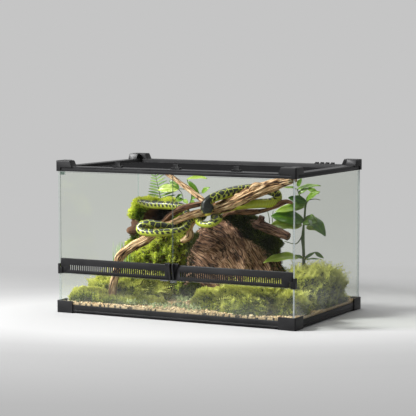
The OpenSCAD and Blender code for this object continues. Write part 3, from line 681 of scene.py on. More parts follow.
# The broken root: dark red-brown, like the bark that it sticks out of.
ROOT_WOOD = WeatheredWood(
    "root_wood_dark_brown",
    ((0.12, "#0d0704"), (0.28, "#2e1b12"), (0.46, "#5c3f30"), (0.7, "#94735e")),
    **LIMB_GRAIN,
)
# Waxy leaves: deep green with a soft shine, and pale where the light comes through.
LEAF = Grown(
    "leaf_waxy_green",
    ((0.0, "#1c3b08"), (0.3, "#356412"), (0.6, "#7ba62c"), (0.85, "#b2cb52"), (1.0, "#d6e284")),
    weights=(0.1, 0.72, 0.12, 0.26),
    fleck_mm=25.0,
    bump_mm=0.1,
    roughness=0.35,
    glow=0.25,
    coat=0.3,
)
# The fern: thinner leaflets, paler where light comes through.
FERN_LEAF = Grown(
    "fern_leaf_thin",
    ((0.0, "#3c6a20"), (0.4, "#65923a"), (0.7, "#95b85a"), (1.0, "#c0d680")),
    weights=(0.1, 0.75, 0.1, 0.2),
    fleck_mm=20.0,
    bump_mm=0.1,
    roughness=0.5,
    glow=0.35,
)
# Grass blades: pale and thin, and a little see-through.
GRASS_LEAF = Grown(
    "grass_blade_pale",
    ((0.0, "#5f8a3a"), (0.5, "#8fb35e"), (1.0, "#b6cc8a")),
    weights=(0.1, 0.8, 0.1, 0.1),
    fleck_mm=20.0,
    bump_mm=0.1,
    roughness=0.5,
    glow=0.3,
)
# Stalks: woody brown-green at the foot and fresher at the tip.
STALK = Grown(
    "stalk_green_brown",
    ((0.0, "#23330f"), (0.5, "#41591e"), (1.0, "#6f8a38")),
    weights=(0.3, 0.4, 0.0, 0.4),
    fleck_mm=8.0,
    bump_mm=0.2,
    roughness=0.5,
)
# Low creeping plants in the gravel: small dull blue-green leaves.
SEDUM = Grown(
    "creeping_plant_blue_green",
    ((0.0, "#47592f"), (0.5, "#8a9c66"), (1.0, "#c8d2a2")),
    weights=(0.4, 0.5, 0.0, 0.1),
    fleck_mm=5.0,
    bump_mm=0.1,
    roughness=0.5,
    glow=0.15,
)
# The python's eye: a dark, wet ball.
EYE = MouldedPlastic("snake_eye_wet", "#0a0a08", "#1c1c12", 0.12, sheen=0.6)


# ---- arrays and meshes ----


def noise(points: Array, cell: float, seed: int) -> Array:
    """Smooth noise from -1 to 1.

    Each corner of a cubic lattice has a random number, hashed from its place, and a point blends
    the eight round it with weights f f (3 - 2 f) along each axis.

    Args:
        points: Places, as an array whose last axis has three numbers.
        cell: Size of the lattice's cells.
        seed: Changes all the numbers.

    Returns:
        One number for each point.
    """
    scaled = np.asarray(points) / cell
    low = np.floor(scaled).astype(np.int64)
    part = scaled - low
    part = part * part * (3 - 2 * part)
    total = np.zeros(scaled.shape[:-1])
    for corner in np.ndindex(2, 2, 2):
        k = low + corner
        # Large odd numbers mix the three places and the seed, and 16 middle bits are the result.
        mixed = (k[..., 0] * 73856093) ^ (k[..., 1] * 19349663) ^ (k[..., 2] * 83492791)
        mixed = (mixed ^ (seed * 7919)) * 1274126177
        value = ((mixed >> 15) & 0xFFFF) / 32767.5 - 1
        total += value * np.prod(np.where(corner, part, 1 - part), axis=-1)
    return total


def fractal(points: Array, cell: float, seed: int, octaves: int = 3) -> Array:
    """Adds up noise of halving size and halving strength, kept from about -1 to 1."""
    layers = [noise(points, cell / 2**k, seed + k) / 2**k for k in range(octaves)]
    return np.sum(layers, axis=0) / (2 - 0.5 ** (octaves - 1))


def ridged(points: Array, cell: float, seed: int, steep: float = 2.2) -> Array:
    """Rounded ridges with sharp clefts between them: 1 - steep |noise|^0.8."""
    return 1 - steep * np.abs(noise(points, cell, seed)) ** 0.8


def ramp(values: Array, start: float | Array, width: float) -> Array:
    """From 0 at the start to 1 a width further on, or further back where the width is negative."""
    return np.clip((values - start) / width, 0, 1)


def oval(
    points: Array,
    middle_mm: Pair,
    size_mm: Pair,
    tilt_mm: float = 0.0,
    ragged: float | Array = 1.0,
) -> Array:
    """From 1 in the middle of an oval seen from the front to 0 outside it: exp(-r^4).

    Args:
        points: Places.
        middle_mm: Its middle, sideways and up.
        size_mm: Its half width and half height, where r is 1.
        tilt_mm: How much higher its right end lies than its middle.
        ragged: Factor on r^2 at each place, which makes the outline uneven.

    Returns:
        One number for each point.
    """
    across = (points[..., 0] / MM - middle_mm[0]) / size_mm[0]
    upward = (points[..., 2] / MM - middle_mm[1] - tilt_mm * across) / size_mm[1]
    return np.exp(-(((across**2 + upward**2) * ragged) ** 2))


def unit(vectors: Array) -> Array:
    """Scales vectors to length one."""
    return vectors / np.maximum(np.linalg.norm(vectors, axis=-1, keepdims=True), 1e-12)


def smooth_path(points: Sequence[Sequence[float]], per_span: int) -> Array:
    """A Catmull-Rom curve through points given in millimetres.

    Args:
        points: The points that it passes through.
        per_span: Steps from each point to the next.

    Returns:
        Points in metres, one row each.
    """
    p = np.asarray(points, float) * MM
    full = np.vstack([p[:1], p, p[-1:]])
    a, b, c, d = (full[k : len(full) - 3 + k, None, :] for k in range(4))
    t = (np.arange(per_span) / per_span)[None, :, None]
    curve = 0.5 * (
        2 * b
        + (c - a) * t
        + (2 * a - 5 * b + 4 * c - d) * t**2
        + (3 * b - a - 3 * c + d) * t**3
    )
    return np.vstack([curve.reshape(-1, 3), p[-1:]])


def carried(path: Array) -> tuple[Array, Array, Array]:
    """Directions along a path and two square to it, turned as little as possible on the way.

    Args:
        path: Points in metres.

    Returns:
        Headings, sides and ups, one row for each point.
    """
    headings = unit(np.gradient(path, axis=0))
    up = np.array([0.0, 0.0, 1.0]) if abs(headings[0, 2]) < 0.8 else np.array([0.0, 1.0, 0.0])
    ups = np.empty_like(path)
    for index, heading in enumerate(headings):
        up = up - heading * float(up @ heading)
        up = up / np.linalg.norm(up)
        ups[index] = up
    return headings, np.cross(headings, ups), ups


def spread(values: Sequence[float], count: int) -> Array:
    """Spreads a short list of numbers evenly over this many places, with straight runs between."""
    return np.interp(np.linspace(0, 1, count), np.linspace(0, 1, len(values)), values)


def turns(sides: int) -> tuple[Array, Array]:
    """Cosines and sines of evenly spaced turns, each as one row."""
    angle = np.linspace(0, 2 * math.pi, sides, endpoint=False)[None, :]
    return np.cos(angle), np.sin(angle)


def ball(rings: int, sides: int, blunt: float) -> Array:
    """A grid of points on a ball of radius one, from its bottom up.

    The point at angle p from the bottom and turn t is (sin p cos t, sin p sin t, -cos p).

    Args:
        rings: Rows of points.
        sides: Points in each row.
        blunt: Angle from each pole at which it is cut off.

    Returns:
        Rows by columns by three.
    """
    p = np.linspace(blunt, math.pi - blunt, rings)[:, None]
    c, s = turns(sides)
    return np.stack([np.sin(p) * c, np.sin(p) * s, -np.cos(p) + 0 * c], axis=-1)


@dataclass
class Surface:
    """A mesh as whole arrays.

    Attributes:
        points: Corner points, one row each.
        faces: Arrays of point numbers, each with faces of one size.
        grain: Three numbers for each point, which the materials read.
    """

    points: Array
    faces: list[Array]
    grain: Array

    @staticmethod
    def joined(parts: Sequence["Surface"]) -> "Surface":
        """Puts several surfaces in one."""
        starts = np.cumsum([0] + [len(part.points) for part in parts])
        return Surface(
            np.concatenate([part.points for part in parts]),
            [face + start for part, start in zip(parts, starts) for face in part.faces],
            np.concatenate([part.grain for part in parts]),
        )


def sheet(points: Array, grain: Array, around: bool = False, capped: bool = False) -> Surface:
    """A surface from a grid of points.

    Args:
        points: Rows by columns by three.
        grain: The same shape.
        around: Joins the last column to the first.
        capped: Closes the first and last row with a fan to their middle.

    Returns:
        The surface, with its faces outwards where columns turn anticlockwise seen from its end.
    """
    rows, cols = points.shape[:2]
    number = np.arange(rows * cols).reshape(rows, cols)
    if around:
        number = np.hstack([number, number[:, :1]])
    a, b, c, d = number[:-1, :-1], number[:-1, 1:], number[1:, 1:], number[1:, :-1]
    faces = [np.stack([a, b, c, d], axis=-1).reshape(-1, 4)]
    flat, marks = points.reshape(-1, 3), grain.reshape(-1, 3)
    if capped:
        total = len(flat)
        first, last = number[0], number[-1]
        ends = np.stack([points[0].mean(axis=0), points[-1].mean(axis=0)])
        flat = np.vstack([flat, ends])
        marks = np.vstack([marks, grain[0].mean(axis=0), grain[-1].mean(axis=0)])
        faces.append(np.stack([first[1:], first[:-1], np.full(len(first) - 1, total)], axis=-1))
        faces.append(np.stack([last[:-1], last[1:], np.full(len(last) - 1, total + 1)], axis=-1))
    return Surface(flat, faces, marks)


def sown(
    template: Surface, spots: Array, ups: Array, sizes: Array, tones: Array, seed: int
) -> Surface:
    """Copies a small shape to many spots, each turned at random round its own up direction.

    Args:
        template: The shape, about one unit big, with its up along Z.
        spots: Where each copy stands.
        ups: Which way each copy's up points.
        sizes: Each copy's size, as one number or three for its own X, Y and Z.
        tones: The tone that each copy takes as its second grain number.
        seed: Sets the turns.

    Returns:
        All the copies as one surface.
    """
    rng = np.random.default_rng(seed)
    count, corners = len(spots), len(template.points)
    wild = unit(rng.normal(size=(count, 3)))
    side = unit(np.cross(ups, wild))
    basis = np.stack([side, np.cross(ups, side), ups], axis=1)
    scale = sizes[:, None] if sizes.ndim == 1 else sizes
    local = template.points[None] * scale[:, None, :]
    points = spots[:, None, :] + np.einsum("nki,nij->nkj", local, basis)
    grain = np.repeat(template.grain[None], count, axis=0)
    grain[..., 1] = tones[:, None]
    offsets = (np.arange(count) * corners)[:, None, None]
    faces = [(face[None] + offsets).reshape(-1, face.shape[1]) for face in template.faces]
    return Surface(points.reshape(-1, 3), faces, grain.reshape(-1, 3))


def body_of_node(node: str) -> str:
    """The name of the body that holds a CAD node."""
    bodies = frame["record"]["behaviour"]["bodies"]
    return next(body for body, nodes in bodies.items() if node in nodes)


def stand_in(name: str, mesh: bpy.types.Mesh, node: str) -> bpy.types.Object:
    """Makes a mesh an object that stands for a CAD node and moves with the node's body.

    Args:
        name: The object's name.
        mesh: Its mesh.
        node: The CAD node.

    Returns:
        The object.
    """
    made = bpy.data.objects.new(name, mesh)
    bpy.context.scene.collection.objects.link(made)
    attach(made, body_of_node(node))
    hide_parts(node)
    LOG.info("%s: %d points, %d faces", name, len(mesh.vertices), len(mesh.polygons))
    return made


def piece(
    name: str,
    surface: Surface,
    finish: Finish,
    node: str,
    smooth: bool = True,
    wall: float = 0.0,
    kept_in: bool = True,
) -> None:
    """Turns a surface into an object that stands for a CAD node.

    Args:
        name: The object's name.
        surface: Its shape.
        finish: Its finish.
        node: The CAD node that it stands for, alone or with others.
        smooth: Shades it smooth.
        wall: Thickness given to an open sheet.
        kept_in: Keeps its points inside the panes.
    """
    points = np.clip(surface.points, ROOM[0], ROOM[1]) if kept_in else surface.points
    mesh = bpy.data.meshes.new(name)
    sizes = np.concatenate([np.full(len(face), face.shape[1]) for face in surface.faces])
    corners = np.concatenate([face.ravel() for face in surface.faces])
    mesh.vertices.add(len(points))
    mesh.vertices.foreach_set("co", points.astype(np.float32).ravel())
    mesh.loops.add(len(corners))
    mesh.loops.foreach_set("vertex_index", corners.astype(np.int32))
    mesh.polygons.add(len(sizes))
    mesh.polygons.foreach_set("loop_start", (np.cumsum(sizes) - sizes).astype(np.int32))
    mesh.polygons.foreach_set("use_smooth", np.full(len(sizes), smooth))
    mesh.update(calc_edges=True)
    mesh.validate()
    marks = mesh.attributes.new("grain", "FLOAT_VECTOR", "POINT")
    marks.data.foreach_set("vector", surface.grain.astype(np.float32).ravel())
    mesh.materials.append(material_of(finish))
    made = stand_in(name, mesh, node)
    if wall:
        solid = made.modifiers.new("wall", "SOLIDIFY")
        solid.thickness, solid.offset = wall, 0.0


def moulded(node: str, finish: Finish, edge_mm: float, steps: int = 2) -> None:
    """Stands a copy of a CAD node with rounded edges in for it.

    The copy's loose triangles are merged and its flat faces dissolved, so that a Bevel modifier
    rounds only its real edges.

    Args:
        node: The CAD node.
        finish: Its finish.
        edge_mm: Radius of the rounded edges.
        steps: Faces across each rounded edge.
    """
    name = f"{node}_moulded"
    mesh = bpy.data.meshes.new(name)
    work = bmesh.new()
    work.from_mesh(frame["nodes"][node].data)
    bmesh.ops.remove_doubles(work, verts=work.verts, dist=SAME_SPOT)
    bmesh.ops.dissolve_limit(work, angle_limit=FLAT, verts=work.verts, edges=work.edges)
    work.to_mesh(mesh)
    work.free()
    mesh.materials.clear()
    mesh.materials.append(material_of(finish))
    mesh.polygons.foreach_set("material_index", np.zeros(len(mesh.polygons), np.int32))
    mesh.polygons.foreach_set("use_smooth", np.ones(len(mesh.polygons), bool))
    bevel = stand_in(name, mesh, node).modifiers.new("edges", "BEVEL")
    bevel.width, bevel.segments = edge_mm * MM, steps
    bevel.limit_method, bevel.angle_limit = "ANGLE", SHARP
    bevel.harden_normals = True


# ---- the tank ----


@dataclass
class PlasticFrame:
    """The charcoal frame: feet, rails and stacking corners, and the small fittings on it.

    Attributes:
        corner_mm: Radius of the moulded edges of feet and stacking corners.
        rail_mm: Radius of the rails' edges.
        bracket_mm: Radius of the pivot brackets' edges.
        catch_mm: Radius of the door catch's edges.
    """

    corner_mm: float = 0.9
    rail_mm: float = 0.45
    bracket_mm: float = 0.4
    catch_mm: float = 0.25

    def build(self) -> None:
        """Rounds the edges of every frame member."""
        for place in ("front", "back", "left", "right"):
            moulded(f"bottom_rail_{place}", ABS, self.rail_mm)
            moulded(f"top_rail_{place}", ABS, self.rail_mm)
        for corner in ("front_left", "front_right", "back_left", "back_right"):
            moulded(f"foot_{corner}", ABS, self.corner_mm, 3)
            moulded(f"top_corner_{corner}", ABS, self.corner_mm, 3)
        for side in ("left", "right"):
            moulded(f"pivot_bracket_{side}", NYLON, self.bracket_mm)
        moulded("door_catch", STEEL, self.catch_mm)


@dataclass
class Glazing:
    """Panes with arrissed, ground edges, and the clear pivot shoes.

    Attributes:
        arris_mm: Width of the arris.
        shy_mm: Gap left round each pane, so that no two faces lie in one plane.
        shoe_mm: Radius of the pivot shoes' edges.
    """

    arris_mm: float = 0.7
    shy_mm: float = 0.1
    shoe_mm: float = 0.4

    def pane(self, node: str, finish: ClearPane, rim: GroundEdge) -> None:
        """Makes one pane: two clear faces and a ground rim with an arris on each side.

        Args:
            node: The CAD node whose box it fills.
            finish: The finish of its two faces.
            rim: The finish of its edges.
        """
        low, high = (np.array(corner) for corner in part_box(node))
        low, high = low + self.shy_mm * MM, high - self.shy_mm * MM
        work = bmesh.new()
        bmesh.ops.create_cube(work, size=1.0)
        for vertex in work.verts:
            vertex.co = [high[k] if vertex.co[k] > 0 else low[k] for k in range(3)]
        arris = self.arris_mm * MM
        bmesh.ops.bevel(work, geom=work.edges[:], offset=arris, segments=1, affect="EDGES")
        thin = int(np.argmin(high - low))
        work.normal_update()
        for face in work.faces:
            face.material_index = 0 if abs(face.normal[thin]) > 0.99 else 1
        name = f"{node}_float"
        mesh = bpy.data.meshes.new(name)
        work.to_mesh(mesh)
        work.free()
        for dress in (finish, rim):
            mesh.materials.append(material_of(dress))
        stand_in(name, mesh, node)

    def build(self) -> None:
        """Glazes the tank and the doors."""
        self.pane("back_pane", GLASS, BACK_EDGE)
        self.pane("left_pane", GLASS, BACK_EDGE)
        self.pane("base_panel", GLASS, EDGE)
        self.pane("right_pane", SIDE_GLASS, EDGE)
        self.pane("lower_front_pane", LOW_FILMED_GLASS, EDGE)
        for side in ("left", "right"):
            self.pane(f"{side}_door_glass", GLASS, DOOR_EDGE)
            moulded(f"{side}_pivot_shoe", POLYCARBONATE, self.shoe_mm)
        seams = frame["nodes"]["silicone_seams"]
        seams.data.materials.clear()
        seams.data.materials.append(material_of(SILICONE))


@dataclass
class Doors:
    """The slotted rails and finger pulls of the two doors.

    Attributes:
        rail_mm: Radius of the slotted rails' edges.
        pull_mm: Radius of the pulls' edges.
    """

    rail_mm: float = 0.3
    pull_mm: float = 0.6

    def build(self) -> None:
        """Rounds the rails' and pulls' edges."""
        for side in ("left", "right"):
            moulded(f"{side}_vent_rail", ABS, self.rail_mm, 1)
            moulded(f"{side}_door_pull", ABS, self.pull_mm, 3)


@dataclass
class Lid:
    """The lid's frame, its wire screen, its clips and the gates of the cable inlets.

    Attributes:
        pitch_mm: Spacing of the wires; the real 1.6 mm is drawn at twice that.
        wire_mm: Thickness of a wire.
        frame_mm: Radius of the lid frame's edges.
        clip_mm: Radius of the clips' edges.
        gate_mm: Radius of the gates' edges.
    """

    pitch_mm: float = 3.2
    wire_mm: float = 0.55
    frame_mm: float = 0.4
    clip_mm: float = 0.7
    gate_mm: float = 0.3

    def screen(self) -> Surface:
        """Two layers of straight wires, one each way, that lie on each other.

        A wire is a long square prism: its four corner lines are its middle line moved by half the
        wire's thickness up, sideways, down and back.
        """
        low, high = (np.array(corner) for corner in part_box("lid_mesh"))
        middle, half = (low + high) / 2, self.wire_mm * MM / 2
        corners = np.array([[0, 1], [1, 0], [0, -1], [-1, 0]]) * half
        sides = [[0, 1, 5, 4], [1, 2, 6, 5], [2, 3, 7, 6], [3, 0, 4, 7]]
        ends = [[3, 2, 1, 0], [4, 5, 6, 7]]
        parts = []
        for along, across, level, ring in ((0, 1, half, corners[::-1]), (1, 0, -half, corners)):
            span = (high - low)[across]
            count = int(span / (self.pitch_mm * MM))
            spots = low[across] + span * (np.arange(count) + 0.5) / count
            points = np.zeros((count, 2, 4, 3))
            points[..., along] = np.array([low[along], high[along]])[None, :, None]
            points[..., across] = spots[:, None, None] + ring[None, None, :, 0]
            points[..., 2] = middle[2] + level + ring[None, None, :, 1]
            first = np.arange(count)[:, None, None] * points[0, ..., 0].size
            faces = (np.array(sides + ends)[None] + first).reshape(-1, 4)
            flat = points.reshape(-1, 3)
            parts.append(Surface(flat, [faces], np.zeros_like(flat)))
        return Surface.joined(parts)

    def build(self) -> None:
        """Makes the lid and what is on the top rails."""
        moulded("lid_frame", LID_ABS, self.frame_mm)
        wires = self.screen()
        piece("lid_wire_screen", wires, WIRE, "lid_mesh", smooth=False, kept_in=False)
        for place in ("left", "middle", "right"):
            moulded(f"lid_clip_{place}", NYLON, self.clip_mm, 3)
        for number in range(1, 5):
            moulded(f"cable_gate_{number}", NYLON, self.gate_mm)


# ---- planting ----


@dataclass(frozen=True)
class Hill:
    """A rounded heap on the gravel, as the CAD model has it.

    Attributes:
        middle_mm: Its middle, in plan.
        size_mm: Its half width, half depth and height.
        bulge: How steep its sides are; smaller is steeper.
        waves: How wavy its outline is.
        turn: Where the waves start, in degrees.
        lump_mm: Height of the lumps on it.
        lump_cell_mm: Size of the lumps.
        seed: Changes the lumps.
        inset: Lump number that lies on the plain heap's surface; higher ones stand out of it.
        cushions_mm: Places of round cushions on its front: sideways, up, and radius.
    """

    middle_mm: Pair
    size_mm: Triple
    bulge: float = 0.8
    waves: float = 0.07
    turn: float = 0.0
    lump_mm: float = 10.0
    lump_cell_mm: float = 45.0
    seed: int = 1
    inset: float = 0.6
    cushions_mm: tuple[Triple, ...] = ()

    def smooth_at(self, angle: Array, rise: Array) -> Array:
        """Points on the plain heap.

        At height h sin(rise) the outline is a wavy oval, shrunk by cos(rise)^bulge, that stops
        short of the panes.
        """
        turn = math.radians(self.turn)
        shrink = np.maximum(np.cos(rise), 1e-4) ** self.bulge
        ripple = 0.6 * np.sin(3 * angle + turn) + 0.4 * np.sin(5 * angle + 2 * turn)
        wave = (1 - self.waves + self.waves * ripple) * shrink
        out = np.stack(
            [self.size_mm[0] * np.cos(angle), self.size_mm[1] * np.sin(angle)], axis=-1
        )
        wall = np.array([GLASS_X, GLASS_Y]) / MM - PANE_GAP_MM
        room = (wall - np.sign(out) * self.middle_mm) / np.maximum(np.abs(out), 1e-6)
        out = out * np.minimum(wave, room.min(axis=-1))[..., None] + self.middle_mm
        height = BED_TOP / MM + self.size_mm[2] * np.sin(rise)
        return MM * np.concatenate([out, height[..., None]], axis=-1)

    def normal_at(self, angle: Array, rise: Array) -> Array:
        """Outward directions, from the cross product of two small steps on the heap."""
        step = 1e-3
        rise = np.minimum(rise, math.pi / 2 - 3 * step)
        here = self.smooth_at(angle, rise)
        turned = self.smooth_at(angle + step, rise) - here
        raised = self.smooth_at(angle, rise + step) - here
        return unit(np.cross(turned, raised) + np.array([0, 0, 1e-9]))

    def lumps_at(self, here: Array) -> Array:
        """Rounded lumps in two sizes, from about -1 in the clefts to 1 on their tops.

        Two thirds come from ridges of the lumps' size and one third from ridges less than half
        that size. Each cushion lifts them to 1 by exp(-(d / radius)^4).
        """
        cell = self.lump_cell_mm * MM
        big, small = ridged(here, cell, self.seed), ridged(here, cell * 0.42, self.seed + 5)
        lumps = 0.68 * big + 0.32 * small
        for x, z, radius in self.cushions_mm:
            far = np.hypot(here[..., 0] / MM - x, here[..., 2] / MM - z) / radius
            front = here[..., 1] / MM < self.middle_mm[1]
            near = np.exp(-(far**4)) * front
            lumps = lumps * (1 - near) + near * (1.1 - 0.35 * far**2)
        return lumps

    def at(self, angle: Array, rise: Array) -> tuple[Array, Array, Array]:
        """Points on the lumpy heap, the outward directions, and how high each lump is there."""
        here, out = self.smooth_at(angle, rise), self.normal_at(angle, rise)
        lump = self.lumps_at(here)
        reach = (lump - self.inset)[..., None] * self.lump_mm * MM
        return here + out * reach * self.off_foot(rise), out, lump

    def off_foot(self, rise: Array) -> Array:
        """From 0 at the foot to 1 at a sixth of the height, so that no lump undercuts the foot."""
        return np.clip(np.sin(rise) * 6, 0, 1)[..., None]

    def grid(self, rows: int, sides: int) -> tuple[Array, Array]:
        """Angles and rises of a grid over the heap."""
        rise = np.linspace(0, math.pi / 2 - 0.01, rows)[:, None] * np.ones(sides)
        angle = np.linspace(0, 2 * math.pi, sides, endpoint=False)[None, :] * np.ones((rows, 1))
        return angle, rise

    def skin(self, rows: int, sides: int) -> Surface:
        """The heap's surface on a grid of rise and angle, closed at its top and underneath."""
        angle, rise = self.grid(rows, sides)
        points, _, lump = self.at(angle, rise)
        patch = noise(points, 60 * MM, self.seed + 40)
        # Painted shade: the first grain number falls in the clefts between lumps, which darkens the
        # ground there.
        grain = np.stack([0.5 + 0.5 * lump, 0.5 + 0.5 * patch, np.sin(rise)], axis=-1)
        return sheet(points, grain, around=True, capped=True)

    def scatter(self, count: int, seed: int) -> tuple[Array, Array, Array]:
        """Random spots spread evenly over the heap.

        Half of them have an even spread of height and half of plan area, so that steep sides and
        flat crowns both get their share.

        Args:
            count: Number of spots.
            seed: Sets their places.

        Returns:
            Points, outward directions, and how high each lump is there.
        """
        rng = np.random.default_rng(seed)
        angle = rng.uniform(0, 2 * math.pi, count)
        even = rng.uniform(0, 1, count)
        by_height = np.arcsin(even)
        by_plan = np.arccos(np.minimum(even ** (0.5 / self.bulge), 1.0))
        return self.at(angle, np.where(rng.uniform(size=count) < 0.5, by_height, by_plan))


def frond(pairs: int = 4, lean: float = 0.35, width: float = 0.34) -> Surface:
    """A feathery shoot, one unit tall: a spine that leans over, with leaflets on both sides.

    The spine's point at share t is (0, lean t^2, t), and each leaflet is a triangle from the spine
    outwards and upwards, shorter towards the tip. The first grain number is t.

    Args:
        pairs: Leaflets on each side.
        lean: How far the tip leans over.
        width: Length of the lowest leaflets.

    Returns:
        The shoot.
    """
    t = (np.arange(pairs) + 0.4) / pairs
    reach = width * (1 - t) ** 0.6 + 0.05
    low = np.stack([0 * t, lean * t**2, t * 0.9], axis=-1)
    high = low + np.array([0, 0.06, 0.8 / pairs])
    triangles, marks = [], []
    for sign in (-1.0, 1.0):
        tip = low + np.stack([sign * reach, 0.25 * reach, 0.55 * reach + 0.05], axis=-1)
        order = [low, tip, high] if sign > 0 else [low, high, tip]
        triangles.append(np.stack(order, axis=1))
        shade = np.stack([t, t + 0.1, t + 0.35], axis=-1)
        marks.append(shade if sign < 0 else shade[:, [0, 2, 1]])
    points = np.concatenate(triangles).reshape(-1, 3)
    grain = np.zeros_like(points)
    grain[:, 0] = np.clip(np.concatenate(marks).ravel(), 0, 1)
    return Surface(points, [np.arange(len(points)).reshape(-1, 3)], grain)


def mossed(
    spots: Array,
    outs: Array,
    lumps: Array,
    size_mm: Pair,
    seed: int,
    shoot: Surface | None = None,
) -> Surface:
    """Stands moss shoots on a surface.

    Args:
        spots: Where they stand.
        outs: The surface's outward directions there.
        lumps: How high each lump is there, which sets how pale its moss is painted, as painted
            light.
        size_mm: Shortest and longest shoot.
        seed: Sets sizes, leans and tones.
        shoot: The shoot's shape, or none for the plain frond.

    Returns:
        The shoots.
    """
    rng = np.random.default_rng(seed)
    count = len(spots)
    ups = unit(outs + [0, 0, 0.6] + 0.5 * rng.normal(size=(count, 3)))
    sizes = rng.uniform(*size_mm, count) * MM
    patch = noise(spots, 48 * MM, seed + 3) + 0.5 * noise(spots, 17 * MM, seed + 4)
    tones = np.clip(0.5 + 0.4 * patch + 0.18 * rng.normal(size=count), 0, 1)
    shape = shoot or frond()
    made = sown(shape, spots - outs * 2 * MM, ups, sizes, tones, seed + 1)
    # Painted light: shoots on lump tops and on upward faces get paler colours.
    lit = np.clip(0.2 + 0.55 * lumps + 0.4 * np.clip(outs[:, 2] + 0.1, 0, 1), -0.3, 1.1)
    made.grain[:, 2] = np.repeat(lit, len(shape.points))
    return made


@dataclass
class MossBank:
    """A bank of moss on the gravel.

    Attributes:
        node: The CAD node that it stands for.
        hills: Its shapes.
        shoots: Number of shoots on each.
        ferns: Number of long fern-like sprigs on the first.
        size_mm: Shortest and longest shoot.
        fern_mm: Shortest and longest sprig.
        shaded: Gives it the darker moss, as painted shade.
    """

    node: str
    hills: tuple[Hill, ...]
    shoots: tuple[int, ...]
    ferns: int = 0
    size_mm: Pair = (6.0, 15.0)
    fern_mm: Pair = (20.0, 42.0)
    shaded: bool = False

    def build(self) -> None:
        """Makes the bank's ground and its shoots."""
        grounds, tufts = [], []
        for hill, count in zip(self.hills, self.shoots):
            grounds.append(hill.skin(44, 100))
            spots, outs, lumps = hill.scatter(count, hill.seed + 7)
            up = (spots[:, 2] - BED_TOP) / (hill.size_mm[2] * MM)
            # Painted light: the crown's shoots are painted paler than those at the foot.
            lumps = 1.4 * lumps + 0.9 * up - 0.4  # the crown gets more light than the foot
            tufts.append(mossed(spots, outs, lumps, self.size_mm, hill.seed + 11))
        if self.ferns:
            hill = self.hills[0]
            spots, outs, lumps = hill.scatter(self.ferns, hill.seed + 21)
            sprig = frond(pairs=11, lean=1.3, width=0.3)
            tufts.append(mossed(spots, outs, lumps + 0.7, self.fern_mm, hill.seed + 23, sprig))
        ground = Surface.joined(grounds)
        piece(f"{self.node}_ground", ground, MOSS_GROUND, self.node)
        finish = MOSS_DARK if self.shaded else MOSS
        shoots = Surface.joined(tufts)
        piece(f"{self.node}_shoots", shoots, finish, self.node, smooth=False)


@dataclass
class Mound:
    """The tall mossy stump behind on the left, with a dark hollow in its front.

    Attributes:
        hill: Its shape.
        hollow_mm: Middle of the hollow, sideways and up.
        hollow_size_mm: Half width and half height of the hollow.
        hollow_deep_mm: Depth of the hollow.
        hollow_way: Direction in which it goes in.
        hollow_tilt_mm: How much higher its right end lies.
        bare_mm: Middle of the bare brown wood, low on the left flank.
        bare_size_mm: Half width and half height of that.
        shoots: Number of moss shoots before those on bare places are left out.
        shaded_from: Height above which the crown's moss is painted dimmer, as painted shade.
    """

    hill: Hill = Hill(
        (-240, 75), (146, 96, 340), bulge=0.32, waves=0.06, turn=200.0, lump_mm=22.0,
        lump_cell_mm=60.0, seed=31, inset=1.0, cushions_mm=(
            (-272, 190, 24), (-236, 216, 26), (-200, 238, 24), (-170, 200, 26), (-130, 240, 28),
            (-106, 194, 22), (-214, 178, 22), (-318, 206, 20), (-150, 168, 20), (-300, 168, 26),
            (-352, 322, 22), (-322, 360, 22), (-350, 262, 18), (-280, 366, 20), (-190, 366, 20),
        ),
    )  # fmt: skip
    hollow_mm: Pair = (-226.0, 318.0)
    hollow_size_mm: Pair = (64.0, 29.0)
    hollow_deep_mm: float = 62.0
    hollow_way: Triple = (0.15, 1.0, 0.1)
    hollow_tilt_mm: float = 6.0
    bare_mm: Pair = (-338.0, 272.0)
    bare_size_mm: Pair = (52.0, 34.0)
    shoots: int = 26000
    shaded_from: float = 262 * MM

    def hollow(self, points: Array) -> Array:
        """How deep in the hollow each point is, from 0 to 1, and 0 on the stump's back."""
        ragged = 1 + 0.35 * noise(points, 26 * MM, 33)
        inside = oval(points, self.hollow_mm, self.hollow_size_mm, self.hollow_tilt_mm, ragged)
        return inside * (points[..., 1] < 60 * MM)

    def bare(self, points: Array) -> Array:
        """Where the stump's brown wood shows, from 0 to 1."""
        return oval(points, self.bare_mm, self.bare_size_mm)

    def build(self) -> None:
        """Makes the stump and moss on its crown and front."""
        points, _, lump = self.hill.at(*self.hill.grid(110, 190))
        deep = self.hollow(points)
        inward = np.array(self.hollow_way) * self.hollow_deep_mm * MM
        mossy = 0.5 + 0.5 * noise(points, 40 * MM, 34) + 0.3 - 0.9 * self.bare(points)
        # Painted shade: the hollow is painted black towards its depth, and the clefts between lumps
        # darker.
        grain = np.stack([(0.5 + 0.5 * lump) * (1 - deep), mossy * (1 - deep), 0 * lump], axis=-1)
        skin = sheet(points + inward * deep[..., None], grain, around=True, capped=True)
        piece("mossy_mound_stump", skin, STUMP, "mossy_mound")
        spots, outs, lumps = self.hill.scatter(self.shoots, 35)
        # Moss grows where this is above nought: nearly everywhere but on the wood and in the hole.
        wish = 0.75 * fractal(spots, 70 * MM, 36) + 0.8
        wish = wish - 1.5 * self.bare(spots) - 4 * self.hollow(spots)
        grows = wish > 0
        # Painted shade: moss above shaded_from gets a lower light number and so darker colours.
        low = spots[grows, 2] < self.shaded_from
        lumps = 1.9 * lumps[grows] - np.where(low, 0.3, 0.7)
        moss = mossed(spots[grows], outs[grows], lumps, (7.0, 17.0), 37)
        piece("mossy_mound_moss", moss, MOSS_LIT, "mossy_mound", smooth=False)


